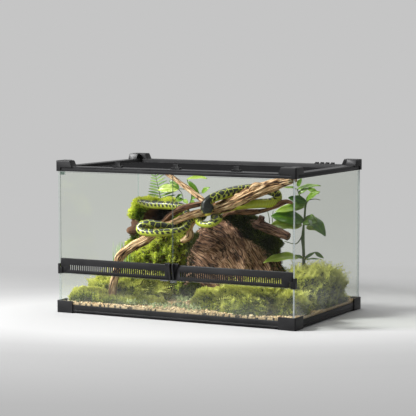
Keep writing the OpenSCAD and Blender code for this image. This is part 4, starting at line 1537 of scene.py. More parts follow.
@dataclass
class BarkLog:
    """The bark log in the middle, its pale spur and the moss on its crown and right flank.

    Attributes:
        hill: Its shape.
        knots_mm: Places along X where the slope of the furrows is given.
        slopes: How far a furrow falls there for each step to the right.
        furrow_mm: Height of the furrows.
        moss_mm: Shortest and longest moss shoot.
        stray: Share of spots that have moss wherever they are.
    """

    hill: Hill = Hill(
        (50, 62), (226, 88, 300), 1.0, 0.06, 20.0, lump_mm=14.0, lump_cell_mm=95.0, seed=51
    )
    knots_mm: tuple[float, ...] = (-190.0, -60.0, 40.0, 120.0, 290.0)
    slopes: tuple[float, ...] = (0.7, 0.85, 1.2, 1.3, 0.95)
    furrow_mm: float = 3.4
    moss_mm: Pair = (7.0, 15.0)
    stray: float = 0.012

    def furrowed(self) -> Surface:
        """The log's skin with splintered furrows that fan out down to the right.

        A furrow falls by slope(x) for each step to the right, so z plus the sum of slope over x is
        the same all along it, and ridges in that number and a tenth of the length follow it. The
        grain is the place in that straightened space.

        Returns:
            The skin.
        """
        angle, rise = self.hill.grid(225, 420)
        points, out, _ = self.hill.at(angle, rise)
        knots = np.array(self.knots_mm) * MM
        fine_x = np.linspace(knots[0], knots[-1], 400)
        fallen = np.cumsum(np.interp(fine_x, knots, self.slopes)) * (fine_x[1] - fine_x[0])
        run = np.sqrt(1 + np.interp(points[..., 0], knots, self.slopes) ** 2)
        bent = 0.008 * fractal(points, 55 * MM, 61)
        across = (points[..., 2] + np.interp(points[..., 0], fine_x, fallen)) / run + bent
        along = points[..., 0] * run * 0.8
        straight = np.stack([along, across, points[..., 1] * 0.5], axis=-1)
        space = straight * [1 / 10, 1, 1]
        coarse = ridged(space, 10 * MM, 62, steep=2.6)
        fine = ridged(space * [1.5, 1, 1], 4.2 * MM, 63, steep=2.6)
        height = 0.5 * coarse + 0.5 * fine
        lift = (height[..., None] - 0.6) * self.furrow_mm * MM * self.hill.off_foot(rise)
        return sheet(points + out * lift, straight, around=True, capped=True)

    def growing(self, spots: Array) -> Array:
        """Where moss grows on the bare log: its left foot, crown and right end, and some clefts.

        Args:
            spots: Places on the log.

        Returns:
            True or false for each.
        """
        x, z = spots[:, 0] / MM, spots[:, 2] / MM
        left = ramp(x, -30, -50) * ramp(z, 300, -60)
        crown = ramp(z, 306, 16)
        right = ramp(x, 150 + 0.35 * np.clip(260 - z, 0, 200), 40)
        stray = np.random.default_rng(69).uniform(size=len(spots)) < self.stray
        return (left + crown + right + 0.7 * noise(spots, 34 * MM, 66) > 0.62) | stray

    def build(self) -> None:
        """Makes the log, its pale spur, and the moss."""
        piece("bark_log_furrowed", self.furrowed(), BARK, "bark_log")
        spur = Limb(SPUR_LINE, (8, 10, 11, 13, 8), seed=68)
        piece("bark_log_spur", spur.surface(70, 36), DRIFTWOOD, "bark_log")
        spots, outs, lumps = self.hill.scatter(9000, 65)
        grows = self.growing(spots)
        # Painted light: moss right of x = 150 mm is painted paler than the rest.
        dim = lumps[grows] - 0.1 + 0.5 * (spots[grows, 0] > 150 * MM)
        moss = mossed(spots[grows], outs[grows], dim, self.moss_mm, 67)
        piece("bark_log_moss", moss, MOSS_DARK, "bark_log", smooth=False)
        roll = Limb(CREST_LINE, (16, 28, 38, 36, 20), seed=71)
        piece("log_moss_ground", roll.surface(60, 36), MOSS_GROUND, "log_moss")
        spots, outs, lumps = roll.scatter(7500, 72)
        # The roll's right end hangs out into the light, so its moss is painted paler as painted
        # light.
        lumps = 1.3 * lumps - 0.7 + np.clip(spots[:, 0] / MM - 150, 0, 80) / 130
        moss = mossed(spots, outs, lumps, (7.0, 16.0), 73)
        piece("log_moss_shoots", moss, MOSS_DARK, "log_moss", smooth=False)


@dataclass(frozen=True)
class Limb:
    """A branch, root or padded roll along a curve.

    Attributes:
        points_mm: Points that its middle line passes through.
        radii_mm: Radii, spread evenly along it.
        relief: Depth of its furrows as a share of the radius.
        seed: Changes its furrows.
    """

    points_mm: tuple[Triple, ...]
    radii_mm: tuple[float, ...]
    relief: float = 0.16
    seed: int = 1

    def line(self, stations: int) -> tuple[Array, Array, Array]:
        """Evenly spaced points along the middle line.

        Args:
            stations: Number of points.

        Returns:
            The points, their lengths along the line and the radii there.
        """
        fine = smooth_path(self.points_mm, 24)
        length = np.concatenate([[0], np.cumsum(np.linalg.norm(np.diff(fine, axis=0), axis=1))])
        even = np.linspace(0, length[-1], stations)
        path = np.stack([np.interp(even, length, fine[:, k]) for k in range(3)], axis=-1)
        share = np.interp(even, length, np.linspace(0, 1, len(fine)))
        radius = np.interp(share, np.linspace(0, 1, len(self.radii_mm)), self.radii_mm) * MM
        return path, even, radius

    def surface(self, stations: int, sides: int) -> Surface:
        """The limb's skin: a ring of the local radius carried along the curve.

        Its radius is multiplied by 1 + relief (1.6 ridges + 0.5 + 1.1 swellings), where ridges are
        clefts in the straightened limb's space, stretched seven times along it, in two sizes, and
        swellings are plain noise of three radii in size.

        Args:
            stations: Rings along the limb.
            sides: Points in each ring.

        Returns:
            The skin, whose grain is the place on the straightened limb.
        """
        path, even, radius = self.line(stations)
        _, side, up = carried(path)
        c, s = turns(sides)
        along = even[:, None] * np.ones_like(c)
        straight = np.stack([along, radius[:, None] * c, radius[:, None] * s], axis=-1)
        squeezed = straight * [1 / 7, 1, 1]
        wide, fine = noise(squeezed, 9 * MM, self.seed), noise(squeezed, 4 * MM, self.seed + 1)
        ridges = -np.abs(wide) - 0.6 * np.abs(fine)
        swell = noise(straight * [0.4, 1, 1], 3 * float(radius.mean()), self.seed + 2)
        scale = 1 + self.relief * (1.6 * ridges + 0.5 + 1.1 * swell)
        reach = (radius[:, None] * scale)[..., None]
        points = path[:, None] + reach * (c[..., None] * side[:, None] + s[..., None] * up[:, None])
        return sheet(points, straight, around=True, capped=True)

    def scatter(self, count: int, seed: int) -> tuple[Array, Array, Array]:
        """Random spots on the limb, the outward directions, and a lump number for each.

        Args:
            count: Number of spots.
            seed: Sets their places.

        Returns:
            Points, outward directions and lump numbers.
        """
        rng = np.random.default_rng(seed)
        path = smooth_path(self.points_mm, 24)
        radius = spread(self.radii_mm, len(path)) * MM
        _, side, up = carried(path)
        pick = rng.integers(0, len(path), count)
        angle = rng.uniform(0, 2 * math.pi, count)[:, None]
        out = np.cos(angle) * side[pick] + np.sin(angle) * up[pick]
        lump = noise(path[pick] + out * radius[pick][:, None], 30 * MM, seed)
        return path[pick] + out * (radius[pick][:, None] * (1 + 0.1 * lump[:, None])), out, lump


SPUR_LINE = ((-18, -40, 330), (-44, -42, 312), (-60, -40, 288), (-62, -34, 262), (-96, -28, 240))
CREST_LINE = ((40, 62, 318), (88, 60, 312), (138, 58, 284), (188, 60, 250), (228, 70, 216))
MAIN_LINE = (
    (-288, -186, 40), (-282, -184, 98), (-268, -182, 153), (-257, -176, 196), (-221, -160, 227),
    (-177, -146, 252), (-128, -130, 288), (-85, -116, 314), (-27, -98, 339), (32, -84, 356),
    (99, -72, 378), (148, -64, 400), (192, -56, 422), (252, -46, 445), (306, -38, 462),
    (342, -34, 472),
)  # fmt: skip
MAIN_RADII = (13, 13, 15, 19, 19.5, 19, 15, 11.5, 11.5, 13, 19, 20.5, 21, 18, 15, 12)
FORK_LINE = (
    (-140, -128, 297), (-116, -106, 323), (-84, -92, 350), (-52, -86, 364), (-20, -80, 374),
    (24, -74, 381), (54, -72, 380),
)  # fmt: skip
UPPER_LINE = ((-164, -26, 480), (-145, -30, 471), (-70, -45, 431), (-8, -58, 396), (20, -66, 382))
SIDE_LINE = (
    (32, 44, 328), (66, 24, 345), (111, 10, 348), (159, 6, 351), (207, 2, 358), (254, -2, 376),
    (289, -6, 392), (316, -8, 390),
)  # fmt: skip
ROOT_LINE = ((126, 42, 310), (169, 34, 304), (210, 28, 294), (258, 22, 281), (292, 18, 270))
STUB_LINE = ((169, 34, 302), (180, 32, 322), (185, 31, 335))
KNOB_LINE = ((176, -62, 420), (196, -64, 441), (214, -62, 447), (236, -56, 448))


@dataclass
class Branches:
    """The driftwood: main branch, its fork and the thinner pieces on it.

    Attributes:
        relief: Depth of the furrows as a share of the radius.
    """

    relief: float = 0.26

    def build(self) -> None:
        """Makes each limb from its line, radii, finish and numbers of stations and sides."""
        limbs = (
            ("main_branch", MAIN_LINE, MAIN_RADII, DRIFTWOOD, 460, 80),
            ("main_branch", KNOB_LINE, (8, 13, 12, 6), DRIFTWOOD, 60, 32),
            ("branch_fork", FORK_LINE, (6, 9, 10.5, 9, 8, 8, 7), DARK_WOOD, 120, 48),
            ("upper_branch", UPPER_LINE, (7, 8, 8.5, 8, 8), DRIFTWOOD, 130, 40),
            ("side_branch", SIDE_LINE, (10, 9.5, 9, 9, 9, 8.5, 8, 5), DARK_WOOD, 170, 40),
            ("log_root", ROOT_LINE, (14, 18, 17, 15, 12), ROOT_WOOD, 120, 48),
            ("log_root", STUB_LINE, (14, 13, 10), ROOT_WOOD, 40, 32),
        )
        for number, (node, line, radii, finish, stations, sides) in enumerate(limbs):
            limb = Limb(line, radii, self.relief, seed=81 + 3 * number)
            piece(f"{node}_grooved_{number}", limb.surface(stations, sides), finish, node)


@dataclass
class Ground:
    """The gravel: a bed with a rough top, loose stones on it, and low plants in its open patch.

    Attributes:
        heaps: The heaps that stand on it; no stone lies well inside one.
        stones: Number of loose stones before those inside heaps are left out.
        clumps_mm: Places of the low plants, in plan.
    """

    heaps: tuple[Hill, ...]
    stones: int = 9000
    clumps_mm: tuple[Pair, ...] = (
        (-118, -36), (-84, -62), (-62, -84), (-180, -228), (-150, -214), (-82, -244), (-44, -230),
        (16, -226), (66, -240), (-20, -190),
    )  # fmt: skip

    def bed(self) -> Surface:
        """The bed's skin: a rough top, four walls and a flat underside, in one closed grid.

        Rows run from the middle of the underside up the front wall, over the top and down the
        back wall to the same middle, and the outermost columns are drawn down to the underside.
        """
        low, high = (np.array(corner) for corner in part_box("gravel_bed"))
        low, high = low + 0.4 * MM, high - 0.4 * MM
        x = np.linspace(low[0], high[0], 260)
        y = np.linspace(low[1], high[1], 170)
        grid_x, grid_y = np.meshgrid(np.concatenate([x[:1], x, x[-1:]]), y)
        top = np.stack([grid_x, grid_y, np.full_like(grid_x, high[2])], axis=-1)
        stones = noise(top, 7 * MM, 101) + 0.6 * noise(top, 4 * MM, 102)
        top[..., 2] += 1.4 * MM * stones - 1.5 * MM
        top[:, [0, -1], 2] = low[2]
        front, back = top[[0]].copy(), top[[-1]].copy()
        front[..., 2] = back[..., 2] = low[2]
        points = np.concatenate([front, top, back])
        tone = noise(points, 6 * MM, 103)
        grain = np.stack([0.5 + 0 * tone, 0.5 + 0.5 * tone, 0 * tone], axis=-1)
        skin = sheet(points, grain)
        rows, cols = points.shape[:2]
        number = np.arange(rows * cols).reshape(rows, cols)
        rim = np.concatenate([number[0], number[1:, -1], number[-1, -2::-1], number[-2:0:-1, 0]])
        return Surface(skin.points, [*skin.faces, rim[::-1][None]], skin.grain)

    def loose(self) -> Surface:
        """Rounded stones: a small ball whose height is squashed and whose ends are blunted."""
        pebble = ball(4, 5, 0.3)
        grain = np.zeros_like(pebble)
        # Painted light: each stone's top is painted paler than its underside.
        grain[..., 0] = 0.5 + 0.5 * pebble[..., 2]
        stone = sheet(pebble, grain, around=True, capped=True)
        rng = np.random.default_rng(104)
        x = rng.uniform(-GLASS_X, GLASS_X, self.stones)
        y = rng.uniform(-GLASS_Y, GLASS_Y, self.stones)
        spots = np.stack([x, y, np.full_like(x, BED_TOP)], axis=-1)
        inside = np.zeros(self.stones, bool)
        for heap in self.heaps:
            out = (spots[:, :2] / MM - heap.middle_mm) / heap.size_mm[:2]
            inside |= (out**2).sum(axis=1) < 0.72
        spots = spots[~inside]
        count = len(spots)
        size = rng.gamma(4.0, 0.7, count).clip(1.6, 7.0)[:, None] * MM
        sizes = size * rng.uniform([0.9, 0.8, 0.35], [1.4, 1.2, 0.6], (count, 3))
        spots[:, 2] += sizes[:, 2] * 0.1
        ups = unit(np.array([0, 0, 1]) + 0.35 * rng.normal(size=(count, 3)))
        return sown(stone, spots, ups, sizes, rng.uniform(0, 1, count), 105)

    def creepers(self) -> Surface:
        """Low rosettes of small pale leaves in the open patch."""
        rng = np.random.default_rng(106)
        count = 430
        clumps = np.array(self.clumps_mm) * MM
        pick = rng.integers(0, len(clumps), count)
        spots = np.zeros((count, 3))
        spots[:, :2] = clumps[pick] + rng.normal(size=(count, 2)) * 12 * MM
        spots[:, 2] = BED_TOP + rng.uniform(0, 9, count) * MM
        ups = unit(np.array([0, 0, 1.0]) + 0.6 * rng.normal(size=(count, 3)))
        tall = rng.uniform(8, 16, count) * MM
        return sown(frond(3), spots, ups, tall, rng.uniform(0, 1, count), 107)

    def build(self) -> None:
        """Makes the bed, the stones and the low plants."""
        piece("gravel_bed_rough", self.bed(), GRAVEL, "gravel_bed")
        piece("gravel_stones", self.loose(), GRAVEL, "gravel_bed")
        low = self.creepers()
        piece("gravel_creepers", low, SEDUM, "gravel_bed", smooth=False)


FACING = (0.3, -0.7, 0.5)  # where most leaves turn their upper face


def leaf(
    base: Sequence[float],
    tip: Sequence[float],
    width_mm: float,
    lean: Sequence[float] = FACING,
    droop: float = 0.12,
    tone: float = 0.5,
    rows: int = 17,
    cols: int = 9,
) -> Surface:
    """A leaf blade with a folded midrib, curled edges and a drooping tip.

    At share t of the length its half width is w sin(pi t^0.8)^0.7 / 2, and the blade is lifted by
    a quarter of the distance from the midrib, plus an arch and a ripple at the edge.

    Args:
        base: Where it leaves its stalk, in millimetres.
        tip: Its tip, in millimetres.
        width_mm: Its widest.
        lean: The direction that its upper face turns to.
        droop: How far it arches, as a share of the length.
        tone: Its place in the leaf colours.
        rows: Points along it.
        cols: Points across it.

    Returns:
        The blade, as an open sheet.
    """
    start, end = np.array(base, float) * MM, np.array(tip, float) * MM
    run = end - start
    length = float(np.linalg.norm(run))
    ahead = run / length
    side = unit(np.cross(ahead, np.array(lean, float)))
    up = np.cross(side, ahead)
    t = np.linspace(0.0, 1.0, rows)[:, None]
    s = np.linspace(-1.0, 1.0, cols)[None, :]
    half = 0.5 * width_mm * MM * np.sin(math.pi * t**0.8).clip(0.02, 1) ** 0.7
    arch = length * (droop * 4 * t * (1 - t) * 0.6)
    ripple = 0.05 * width_mm * MM * np.sin(14 * t + 3 * tone + s) * s**2
    lift = 0.24 * half * np.abs(s) ** 1.3 + ripple + arch
    points = (
        start
        + (t * length)[..., None] * ahead
        + (half * s)[..., None] * side
        + lift[..., None] * up
    )
    vein = np.cos(26 * t - 6 * np.abs(s)) * 0.5 + 0.5
    rib = np.exp(-((s / 0.09) ** 2))
    light = np.maximum(0.25 * vein, rib) + 0 * t
    grain = np.stack([np.abs(s) ** 3 + 0 * t, np.full_like(light, tone), light], axis=-1)
    return sheet(points, grain)


def stalk(points_mm: Sequence[Sequence[float]], radii_mm: Sequence[float]) -> Surface:
    """A round stalk along a curve, with a ring of eight points at each step."""
    path = smooth_path(points_mm, 8)
    radius = spread(radii_mm, len(path)) * MM
    _, side, up = carried(path)
    c, s = turns(8)
    ring = c[..., None] * side[:, None] + s[..., None] * up[:, None]
    points = path[:, None] + ring * radius[:, None, None]
    grain = np.full_like(points, 0.5)
    grain[..., 0] = np.linspace(0, 1, len(path))[:, None]
    return sheet(points, grain, around=True, capped=True)


@dataclass
class Plants:
    """The broadleaf plant, the fern, the leafy sprig and the tuft of grass.

    Attributes:
        wall_mm: Thickness of a leaf.
    """

    wall_mm: float = 0.5

    def set_out(
        self, node: str, stalks: list[Surface], blades: list[Surface], finish: Grown
    ) -> None:
        """Makes one plant's stalks and blades."""
        piece(f"{node}_stalks", Surface.joined(stalks), STALK, node)
        leaves = Surface.joined(blades)
        piece(f"{node}_blades", leaves, finish, node, wall=self.wall_mm * MM)

    def broadleaf(self) -> None:
        """Tall stalks with broad leaves at three heights."""
        crown, fork = (319, 121, 390), (282, 110, 426)
        stalks = [
            stalk(
                [(305, 120, 60), (303, 120, 153), (301, 120, 215), (297, 120, 257),
                 (304, 120, 313), (309, 121, 372), crown], [5, 4, 3.5]),
            stalk([(310, 118, 60), (307, 117, 180), (305, 116, 245), (304, 118, 312)], [4, 3]),
            stalk([(309, 121, 378), (290, 114, 404), fork], [2, 1.6]),
            stalk([crown, (345, 121, 394), (364, 120, 391)], [1.8, 1]),
            stalk([(297, 120, 267), (289, 118, 250), (274, 110, 236), (238, 100, 245)], [3, 2, 1]),
            stalk([(158, 150, 300), (156, 150, 320), (150, 150, 342)], [1.6, 1.2]),
            stalk([(168, 154, 300), (166, 155, 322), (170, 155, 344)], [1.6, 1.2]),
        ]  # fmt: skip
        blades = [
            leaf((304, 119, 315), (201, 68, 333), 54, tone=0.3),
            leaf((300, 113, 302), (202, 52, 300), 50, (0.0, -0.8, 0.6), tone=0.84),
            leaf((303, 121, 317), (364, 96, 316), 48, (0.1, -0.8, 0.6), tone=0.55),
            leaf((326, 112, 326), (396, 92, 270), 44, (0.5, -0.7, 0.5), 0.22, tone=0.3),
            leaf((318, 108, 297), (372, 86, 290), 22, (0.1, -0.8, 0.6), tone=1.05),
            leaf((308, 121, 368), (216, 70, 348), 32, tone=0.74),
            leaf((310, 122, 376), (262, 80, 366), 24, tone=0.5),
            leaf((311, 122, 381), (260, 80, 398), 30, tone=0.2),
            leaf(fork, (358, 140, 438), 22, (0, -0.5, 0.8), tone=0.62),
            leaf(fork, (249, 70, 432), 17, (0, -0.5, 0.8), tone=0.66),
            leaf((284, 112, 410), (322, 116, 430), 16, tone=0.6),
            leaf((318, 116, 430), (358, 120, 412), 18, tone=0.64),
            leaf((311, 121, 388), (372, 100, 422), 24, tone=0.62),
            leaf((283, 110, 436), (300, 108, 466), 16, tone=0.55),
            leaf((290, 114, 190), (204, 2, 178), 44, (0.0, -0.72, 0.7), tone=0.95),
            leaf((303, 119, 187), (268, 104, 196), 13, tone=0.5),
            leaf((305, 120, 184), (345, 128, 210), 12, (0, -0.9, 0.3), tone=0.35),
            leaf((342, 128, 209), (374, 130, 190), 14, (0, -0.9, 0.3), tone=0.4),
            leaf((305, 120, 180), (366, 132, 184), 9, (0, -0.5, 0.8), tone=0.35),
        ]
        self.set_out("broadleaf_plant", stalks, blades, LEAF)

    def fern(self) -> None:
        """A feather: a spine with narrow leaflets in pairs, shorter towards the tip."""
        root, rise = np.array([-263.0, 124.0, 365.0]), np.array([-40.0, 26.0, 100.0])
        stalks = [stalk([root, root + rise / 2, root + rise], [2, 1])]
        blades = []
        for step in range(10):
            foot = root + rise * (0.05 + 0.1 * step)
            reach = 60 - 4.6 * step
            for sign in (-1.0, 1.0):
                tip = foot + [sign * reach, 6, 12 + 6 * sign]
                tone = 0.35 + 0.05 * ((5 * step + (sign > 0)) % 8)
                blades.append(leaf(foot, tip, 8.5 - 0.35 * step, (0.1, -0.9, 0.4), 0.1, tone, 9, 3))
        self.set_out("fern", stalks, blades, FERN_LEAF)

    def sprig(self) -> None:
        """A forked stem with oval leaves."""
        joint, side, tip = (-145, 126, 408), (-189, 124, 410), (-156, 123, 446)
        stalks = [
            stalk([(-150, 100, 350), (-145, 124, 362), (-139, 126, 386), joint, tip], [2.4, 1.6]),
            stalk([joint, side, (-181, 128, 396), (-174, 129, 372)], [1.6, 1.0]),
            stalk([(-139, 126, 386), (-116, 122, 396), (-93, 118, 400)], [1.5, 1.1]),
        ]
        blades = [
            leaf(side, (-268, 108, 405), 34, tone=1.0),
            leaf(tip, (-68, 110, 452), 24, (0, -0.5, 0.8), tone=0.85),
            leaf((-154, 123, 439), (-106, 120, 398), 18, tone=0.4),
            leaf((-93, 118, 400), (-59, 112, 421), 20, tone=0.6),
            leaf((-139, 126, 378), (-110, 122, 386), 17, tone=0.45),
            leaf((-139, 126, 372), (-126, 120, 356), 14, tone=0.6),
            leaf(side, (-232, 130, 438), 20, tone=0.4),
            leaf((-178, 128, 390), (-204, 126, 372), 16, tone=0.55),
            leaf((-174, 129, 372), (-150, 120, 358), 16, tone=0.7),
            leaf((-174, 129, 372), (-214, 118, 366), 18, tone=0.6),
        ]
        self.set_out("leafy_sprig", stalks, blades, LEAF)

    def grass(self) -> None:
        """Thin blades that spread from one foot."""
        rng = np.random.default_rng(131)
        blades = []
        for _ in range(34):
            turn = rng.uniform(0, 2 * math.pi)
            reach = rng.uniform(8, 34)
            away = np.array([math.cos(turn), math.sin(turn), 0.0])
            foot = np.array([-334.0, -30, 36]) + away * 4
            tip = foot + away * reach + [0, 0, rng.uniform(150, 205)]
            blades.append(leaf(foot, tip, 4.5, away, 0.1, rng.uniform(0.5, 1.0), 9, 3))
        stalks = [stalk([(-334, -30, 30), (-334, -30, 60)], [4, 2])]
        self.set_out("grass_tuft", stalks, blades, GRASS_LEAF)

    def build(self) -> None:
        """Makes the four plants."""
        self.broadleaf()
        self.fern()
        self.sprig()
        self.grass()


@dataclass
class Python:
    """The python that lies over the branches.

    Attributes:
        route_mm: Its middle line, from the tail's tip to the snout.
        radii_mm: Its radii along that line.
        rolls: Places on the route, by number, and how far the back is rolled from upwards there.
    """

    route_mm: tuple[Triple, ...] = (
        (-298, 20, 368), (-275, 19, 365), (-240, 16, 360), (-196, 10, 361), (-150, 2, 361),
        (-106, -12, 359), (-78, -30, 348), (-72, -54, 329), (-74, -82, 311), (-82, -110, 300),
        (-100, -136, 302), (-125, -158, 309), (-150, -168, 313), (-171, -173, 309),
        (-181, -178, 298), (-171, -184, 287), (-150, -186, 283), (-110, -182, 283),
        (-72, -166, 286), (-44, -140, 290), (-36, -112, 300), (-43, -84, 314), (-37, -57, 330),
        (-16, -42, 337), (5, -58, 335), (1, -88, 323), (18, -111, 316), (48, -120, 313),
        (74, -120, 320), (84, -104, 333), (68, -78, 335), (42, -52, 338), (56, -26, 354),
        (104, -15, 369), (155, -14, 378), (198, -12, 383), (234, -6, 386), (254, 4, 398),
        (247, 10, 418), (212, 6, 430), (178, -10, 433), (152, -36, 431), (126, -60, 426),
        (99, -80, 418), (73, -96, 408), (55, -108, 398), (48, -117, 384), (51, -121, 370),
        (54, -124, 356), (58, -126, 344),
    )  # fmt: skip
    radii_mm: tuple[float, ...] = (
        (8, 12, 14.5, 15, 15, 13, 12, 12, 12) + (13,) * 13 + (12,) + (11,) * 5
        + (12, 14, 13, 12, 12, 13, 15) + (16,) * 6 + (16.5, 17, 17, 16, 15, 17, 18, 14, 6)
    )  # fmt: skip
    rolls: tuple[Pair, ...] = (
        (0, 14), (5, 14), (9, 0), (12, 40), (18, 20), (24, 0), (26, 60), (30, 0), (33, 60),
        (36, 110), (38, 90), (41, 0), (48, 0),
    )  # fmt: skip

    def skin(self, stations: int, sides: int) -> tuple[Surface, Array, Array, Array]:
        """The body: rings whose back faces up and to the front, rolled where the body turns over.

        The back's direction is the part of (0.15, -0.45, 0.88) square to the body, smoothed along
        it. The head is wider than high, and its top is flat.

        Returns:
            The skin, and the middle line, sides and backs along it.
        """
        limb = Limb(self.route_mm, self.radii_mm)
        path, even, radius = limb.line(stations)
        heading = unit(np.gradient(path, axis=0))
        wish = np.array([0.15, -0.45, 0.88])
        back = wish - heading * (heading @ wish)[:, None]
        kernel = np.hanning(61) / np.hanning(61).sum()
        padded = np.pad(back, ((30, 30), (0, 0)), mode="edge")
        back = np.stack([np.convolve(padded[:, k], kernel, "valid") for k in range(3)], axis=-1)
        back = unit(back - heading * np.sum(heading * back, axis=1, keepdims=True))
        left = np.cross(back, heading)
        place = np.linspace(0, len(self.route_mm) - 1, stations)
        roll = np.radians(np.interp(place, *zip(*self.rolls)))[:, None]
        cos, sin = np.cos(roll), np.sin(roll)
        back, left = back * cos + left * sin, left * cos - back * sin
        gone = (even[-1] - even) / MM
        head = np.exp(-(((gone - 24) / 19) ** 2))
        wide = radius * (1 + 0.3 * head)
        tall = radius * (1 - 0.18 * head)
        c, s = turns(sides)
        points = (
            path[:, None]
            + (wide[:, None] * c)[..., None] * left[:, None]
            + (tall[:, None] * s)[..., None] * back[:, None]
        )
        along = even[:, None] + 0 * c
        skin = sheet(points, np.stack([along, c + 0 * along, s + 0 * along], axis=-1), True, True)
        return skin, path, left, back

    def build(self) -> None:
        """Makes the body and head as one skin, and the eyes."""
        stations = 900
        skin, path, left, back = self.skin(stations, 36)
        length = float(np.linalg.norm(np.diff(path, axis=0), axis=1).sum()) / MM
        finish = SnakeSkin(
            "snake_scales_satin", "#151813", "#b4bd48", "#b5bf3c", "#cfc04a", round(length, 0)
        )
        piece("python_figure_skin", skin, finish, "python_figure")
        globe = ball(8, 12, 0.2)
        eye = sheet(globe * 2.1 * MM, np.zeros_like(globe), around=True, capped=True)
        spot = stations - 1 - round(15 / length * stations)
        eyes = [
            Surface(
                eye.points + path[spot] + side * 9.5 * MM * left[spot] + 5.5 * MM * back[spot],
                eye.faces,
                eye.grain,
            )
            for side in (-1, 1)
        ]
        piece("python_figure_eyes", Surface.joined(eyes), EYE, "python_figure")


# ---- the studio ----


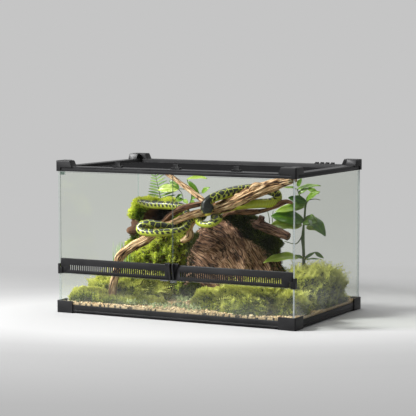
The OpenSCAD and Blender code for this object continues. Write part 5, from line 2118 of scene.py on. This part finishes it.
@dataclass
class Studio:
    """A pale floor, soft lights and the camera.

    Attributes:
        camera_mm: The camera's place.
        yaw: How far it is turned from +Y towards -X, in degrees.
        pitch: How far it looks down, in degrees.
        lens_mm: Focal length on a sensor 36 mm wide.
        backdrop: Tone of the backdrop.
    """

    camera_mm: Triple = (2588.0, -5030.0, 850.5)
    yaw: float = 27.30
    pitch: float = 4.97
    lens_mm: float = 141.4
    backdrop: str = "#c5c5c5"

    def camera(self) -> None:
        """Puts the camera where it sees the photograph's view."""
        data = bpy.data.cameras.new("camera")
        data.lens, data.sensor_width = self.lens_mm, 36.0
        data.clip_start, data.clip_end = 0.05, 100.0
        made = bpy.data.objects.new("camera", data)
        made.location = [value * MM for value in self.camera_mm]
        made.rotation_euler = (math.radians(90 - self.pitch), 0.0, math.radians(self.yaw))
        bpy.context.scene.collection.objects.link(made)
        bpy.context.scene.camera = made

    def world(self) -> None:
        """A room that lights evenly and is seen as the grey backdrop."""
        world = bpy.data.worlds.new("room")
        bpy.context.scene.world = world
        world.use_nodes = True
        tree = world.node_tree
        tree.nodes.clear()
        rays = put(tree, "LightPath").outputs
        seen = rays["Is Camera Ray"]
        for kind in ("Is Glossy Ray", "Is Transmission Ray"):
            seen = put(tree, "Math", {0: seen, 1: rays[kind]}, operation="MAXIMUM")
        light = put(tree, "Background", {"Color": WHITE, "Strength": 0.27})
        back = put(tree, "Background", {"Color": linear(self.backdrop), "Strength": 1.0})
        mixed = put(tree, "MixShader", {0: seen, 1: light, 2: back})
        put(tree, "OutputWorld", {"Surface": mixed})

    def floor(self) -> None:
        """A wide floor: painted pale round the tank as a painted pool of light, and fading to the
        backdrop's grey further out.
        """
        bpy.ops.mesh.primitive_circle_add(vertices=96, radius=9.0, fill_type="NGON")
        floor = bpy.context.object
        floor.name = "studio_floor"
        made, tree = blank("floor_paper_pale")
        place = put(tree, "TexCoord").outputs["Object"]
        turn = (0.0, 0.0, -math.radians(self.yaw))
        turned = put(tree, "Mapping", {"Vector": place, "Rotation": turn})
        pool = {"Vector": turned, "Location": (0.0, 0.12, 0.0), "Scale": (0.55, 1.0, 0.0)}
        ringed = put(tree, "Mapping", pool)
        reach = put(tree, "VectorMath", {0: ringed}, operation="LENGTH").outputs["Value"]
        stops = [(0.44, "#a4a4a4"), (0.66, "#929292"), (0.82, "#8b8b8b"), (1.0, "#898989")]
        tone = put(tree, "ValToRGB", {"Fac": reach}, stops=stops)
        # Painted light: the floor is painted up to 1.38 times paler towards the right, to lift the
        # tank's shadow there.
        sideways = put(tree, "SeparateXYZ", {0: turned}).outputs["X"]
        span = {"From Min": -0.6, "From Max": 0.75, "To Min": 0.97, "To Max": 1.38}
        lift = put(tree, "MapRange", {"Value": sideways, **span})
        tone = put(tree, "VectorMath", {0: tone, "Scale": lift}, operation="SCALE")
        far = put(tree, "MapRange", {"Value": reach, "From Min": 1.0, "From Max": 1.5})
        rays = put(tree, "LightPath").outputs
        seen = put(tree, "Math", {0: far, 1: rays["Is Camera Ray"]}, operation="MULTIPLY")
        depth = put(tree, "SeparateXYZ", {0: turned}).outputs["Y"]
        fade = put(tree, "MapRange", {"Value": depth, "From Min": -1.9, "From Max": -1.0})
        stops = [(0.0, "#b6b6b6"), (1.0, self.backdrop)]
        paper = put(tree, "BsdfDiffuse", {"Color": tone})
        glow = put(tree, "Emission", {"Color": put(tree, "ValToRGB", {"Fac": fade}, stops=stops)})
        show(tree, put(tree, "MixShader", {0: seen, 1: paper, 2: glow}))
        floor.data.materials.append(made)

    def lamp(
        self, name: str, place: Sequence[float], aim: Sequence[float], size: float, watts: float
    ) -> None:
        """Adds a square soft box.

        Args:
            name: Its name.
            place: Where it hangs.
            aim: The point that it faces.
            size: Its side.
            watts: Its power.
        """
        data = bpy.data.lights.new(name, "AREA")
        data.shape, data.size, data.energy = "SQUARE", size, watts
        made = bpy.data.objects.new(name, data)
        made.location = place
        way = Vector(aim) - Vector(place)
        made.rotation_euler = way.to_track_quat("-Z", "Y").to_euler()
        bpy.context.scene.collection.objects.link(made)

    def build(self) -> None:
        """Sets up the studio."""
        self.camera()
        self.world()
        self.floor()
        self.lamp("soft_box_key", (-2.6, -2.3, 2.6), (0, 0, 0.2), 1.0, 430.0)
        self.lamp("soft_box_top", (-0.3, 0.6, 3.0), (0, 0, 0.3), 2.0, 60.0)
        bpy.context.scene.view_settings.view_transform = "Standard"


def main() -> None:
    """Builds the scene."""
    logging.basicConfig(level=logging.INFO, format="%(message)s")
    Studio().build()
    front_left = (
        Hill((-284, -93), (168, 88, 84), 0.7, seed=11, lump_mm=28.0, lump_cell_mm=58.0),
        Hill((-262, -165), (176, 76, 19.5), turn=40, seed=12, lump_mm=5.0),
        Hill((-376, -190), (92, 60, 40), 0.8, seed=14, lump_mm=9.0),
    )
    front_right = (
        Hill((262, -150), (178, 115, 92), 0.8, 0.07, 70.0, 38.0, 58.0, 13),
        Hill((104, -150), (100, 74, 64), 0.8, seed=15, lump_mm=16.0, lump_cell_mm=55.0),
    )
    middle = Hill((-48, 4), (80, 44, 60), turn=30, seed=17, lump_mm=14.0)
    right = Hill((352, 80), (136, 185, 122), 0.66, 0.07, 120.0, 42.0, 62.0, 19)
    banks = (
        MossBank("moss_front_left", front_left, (12000, 5000, 2400), 300),
        MossBank("moss_front_right", front_right, (14000, 3600), 420),
        MossBank("moss_middle", (middle,), (4200,), shaded=True),
        MossBank("moss_right", (right,), (15000,), 800),
    )
    mound, log = Mound(), BarkLog()
    heaps = (*(hill for bank in banks for hill in bank.hills), mound.hill, log.hill)
    tank = (PlasticFrame(), Glazing(), Doors(), Lid(), Ground(heaps))
    planting = (*banks, mound, log, Branches(), Plants(), Python())
    for assembly in (*tank, *planting):
        assembly.build()


if __name__ == "__main__":
    main()
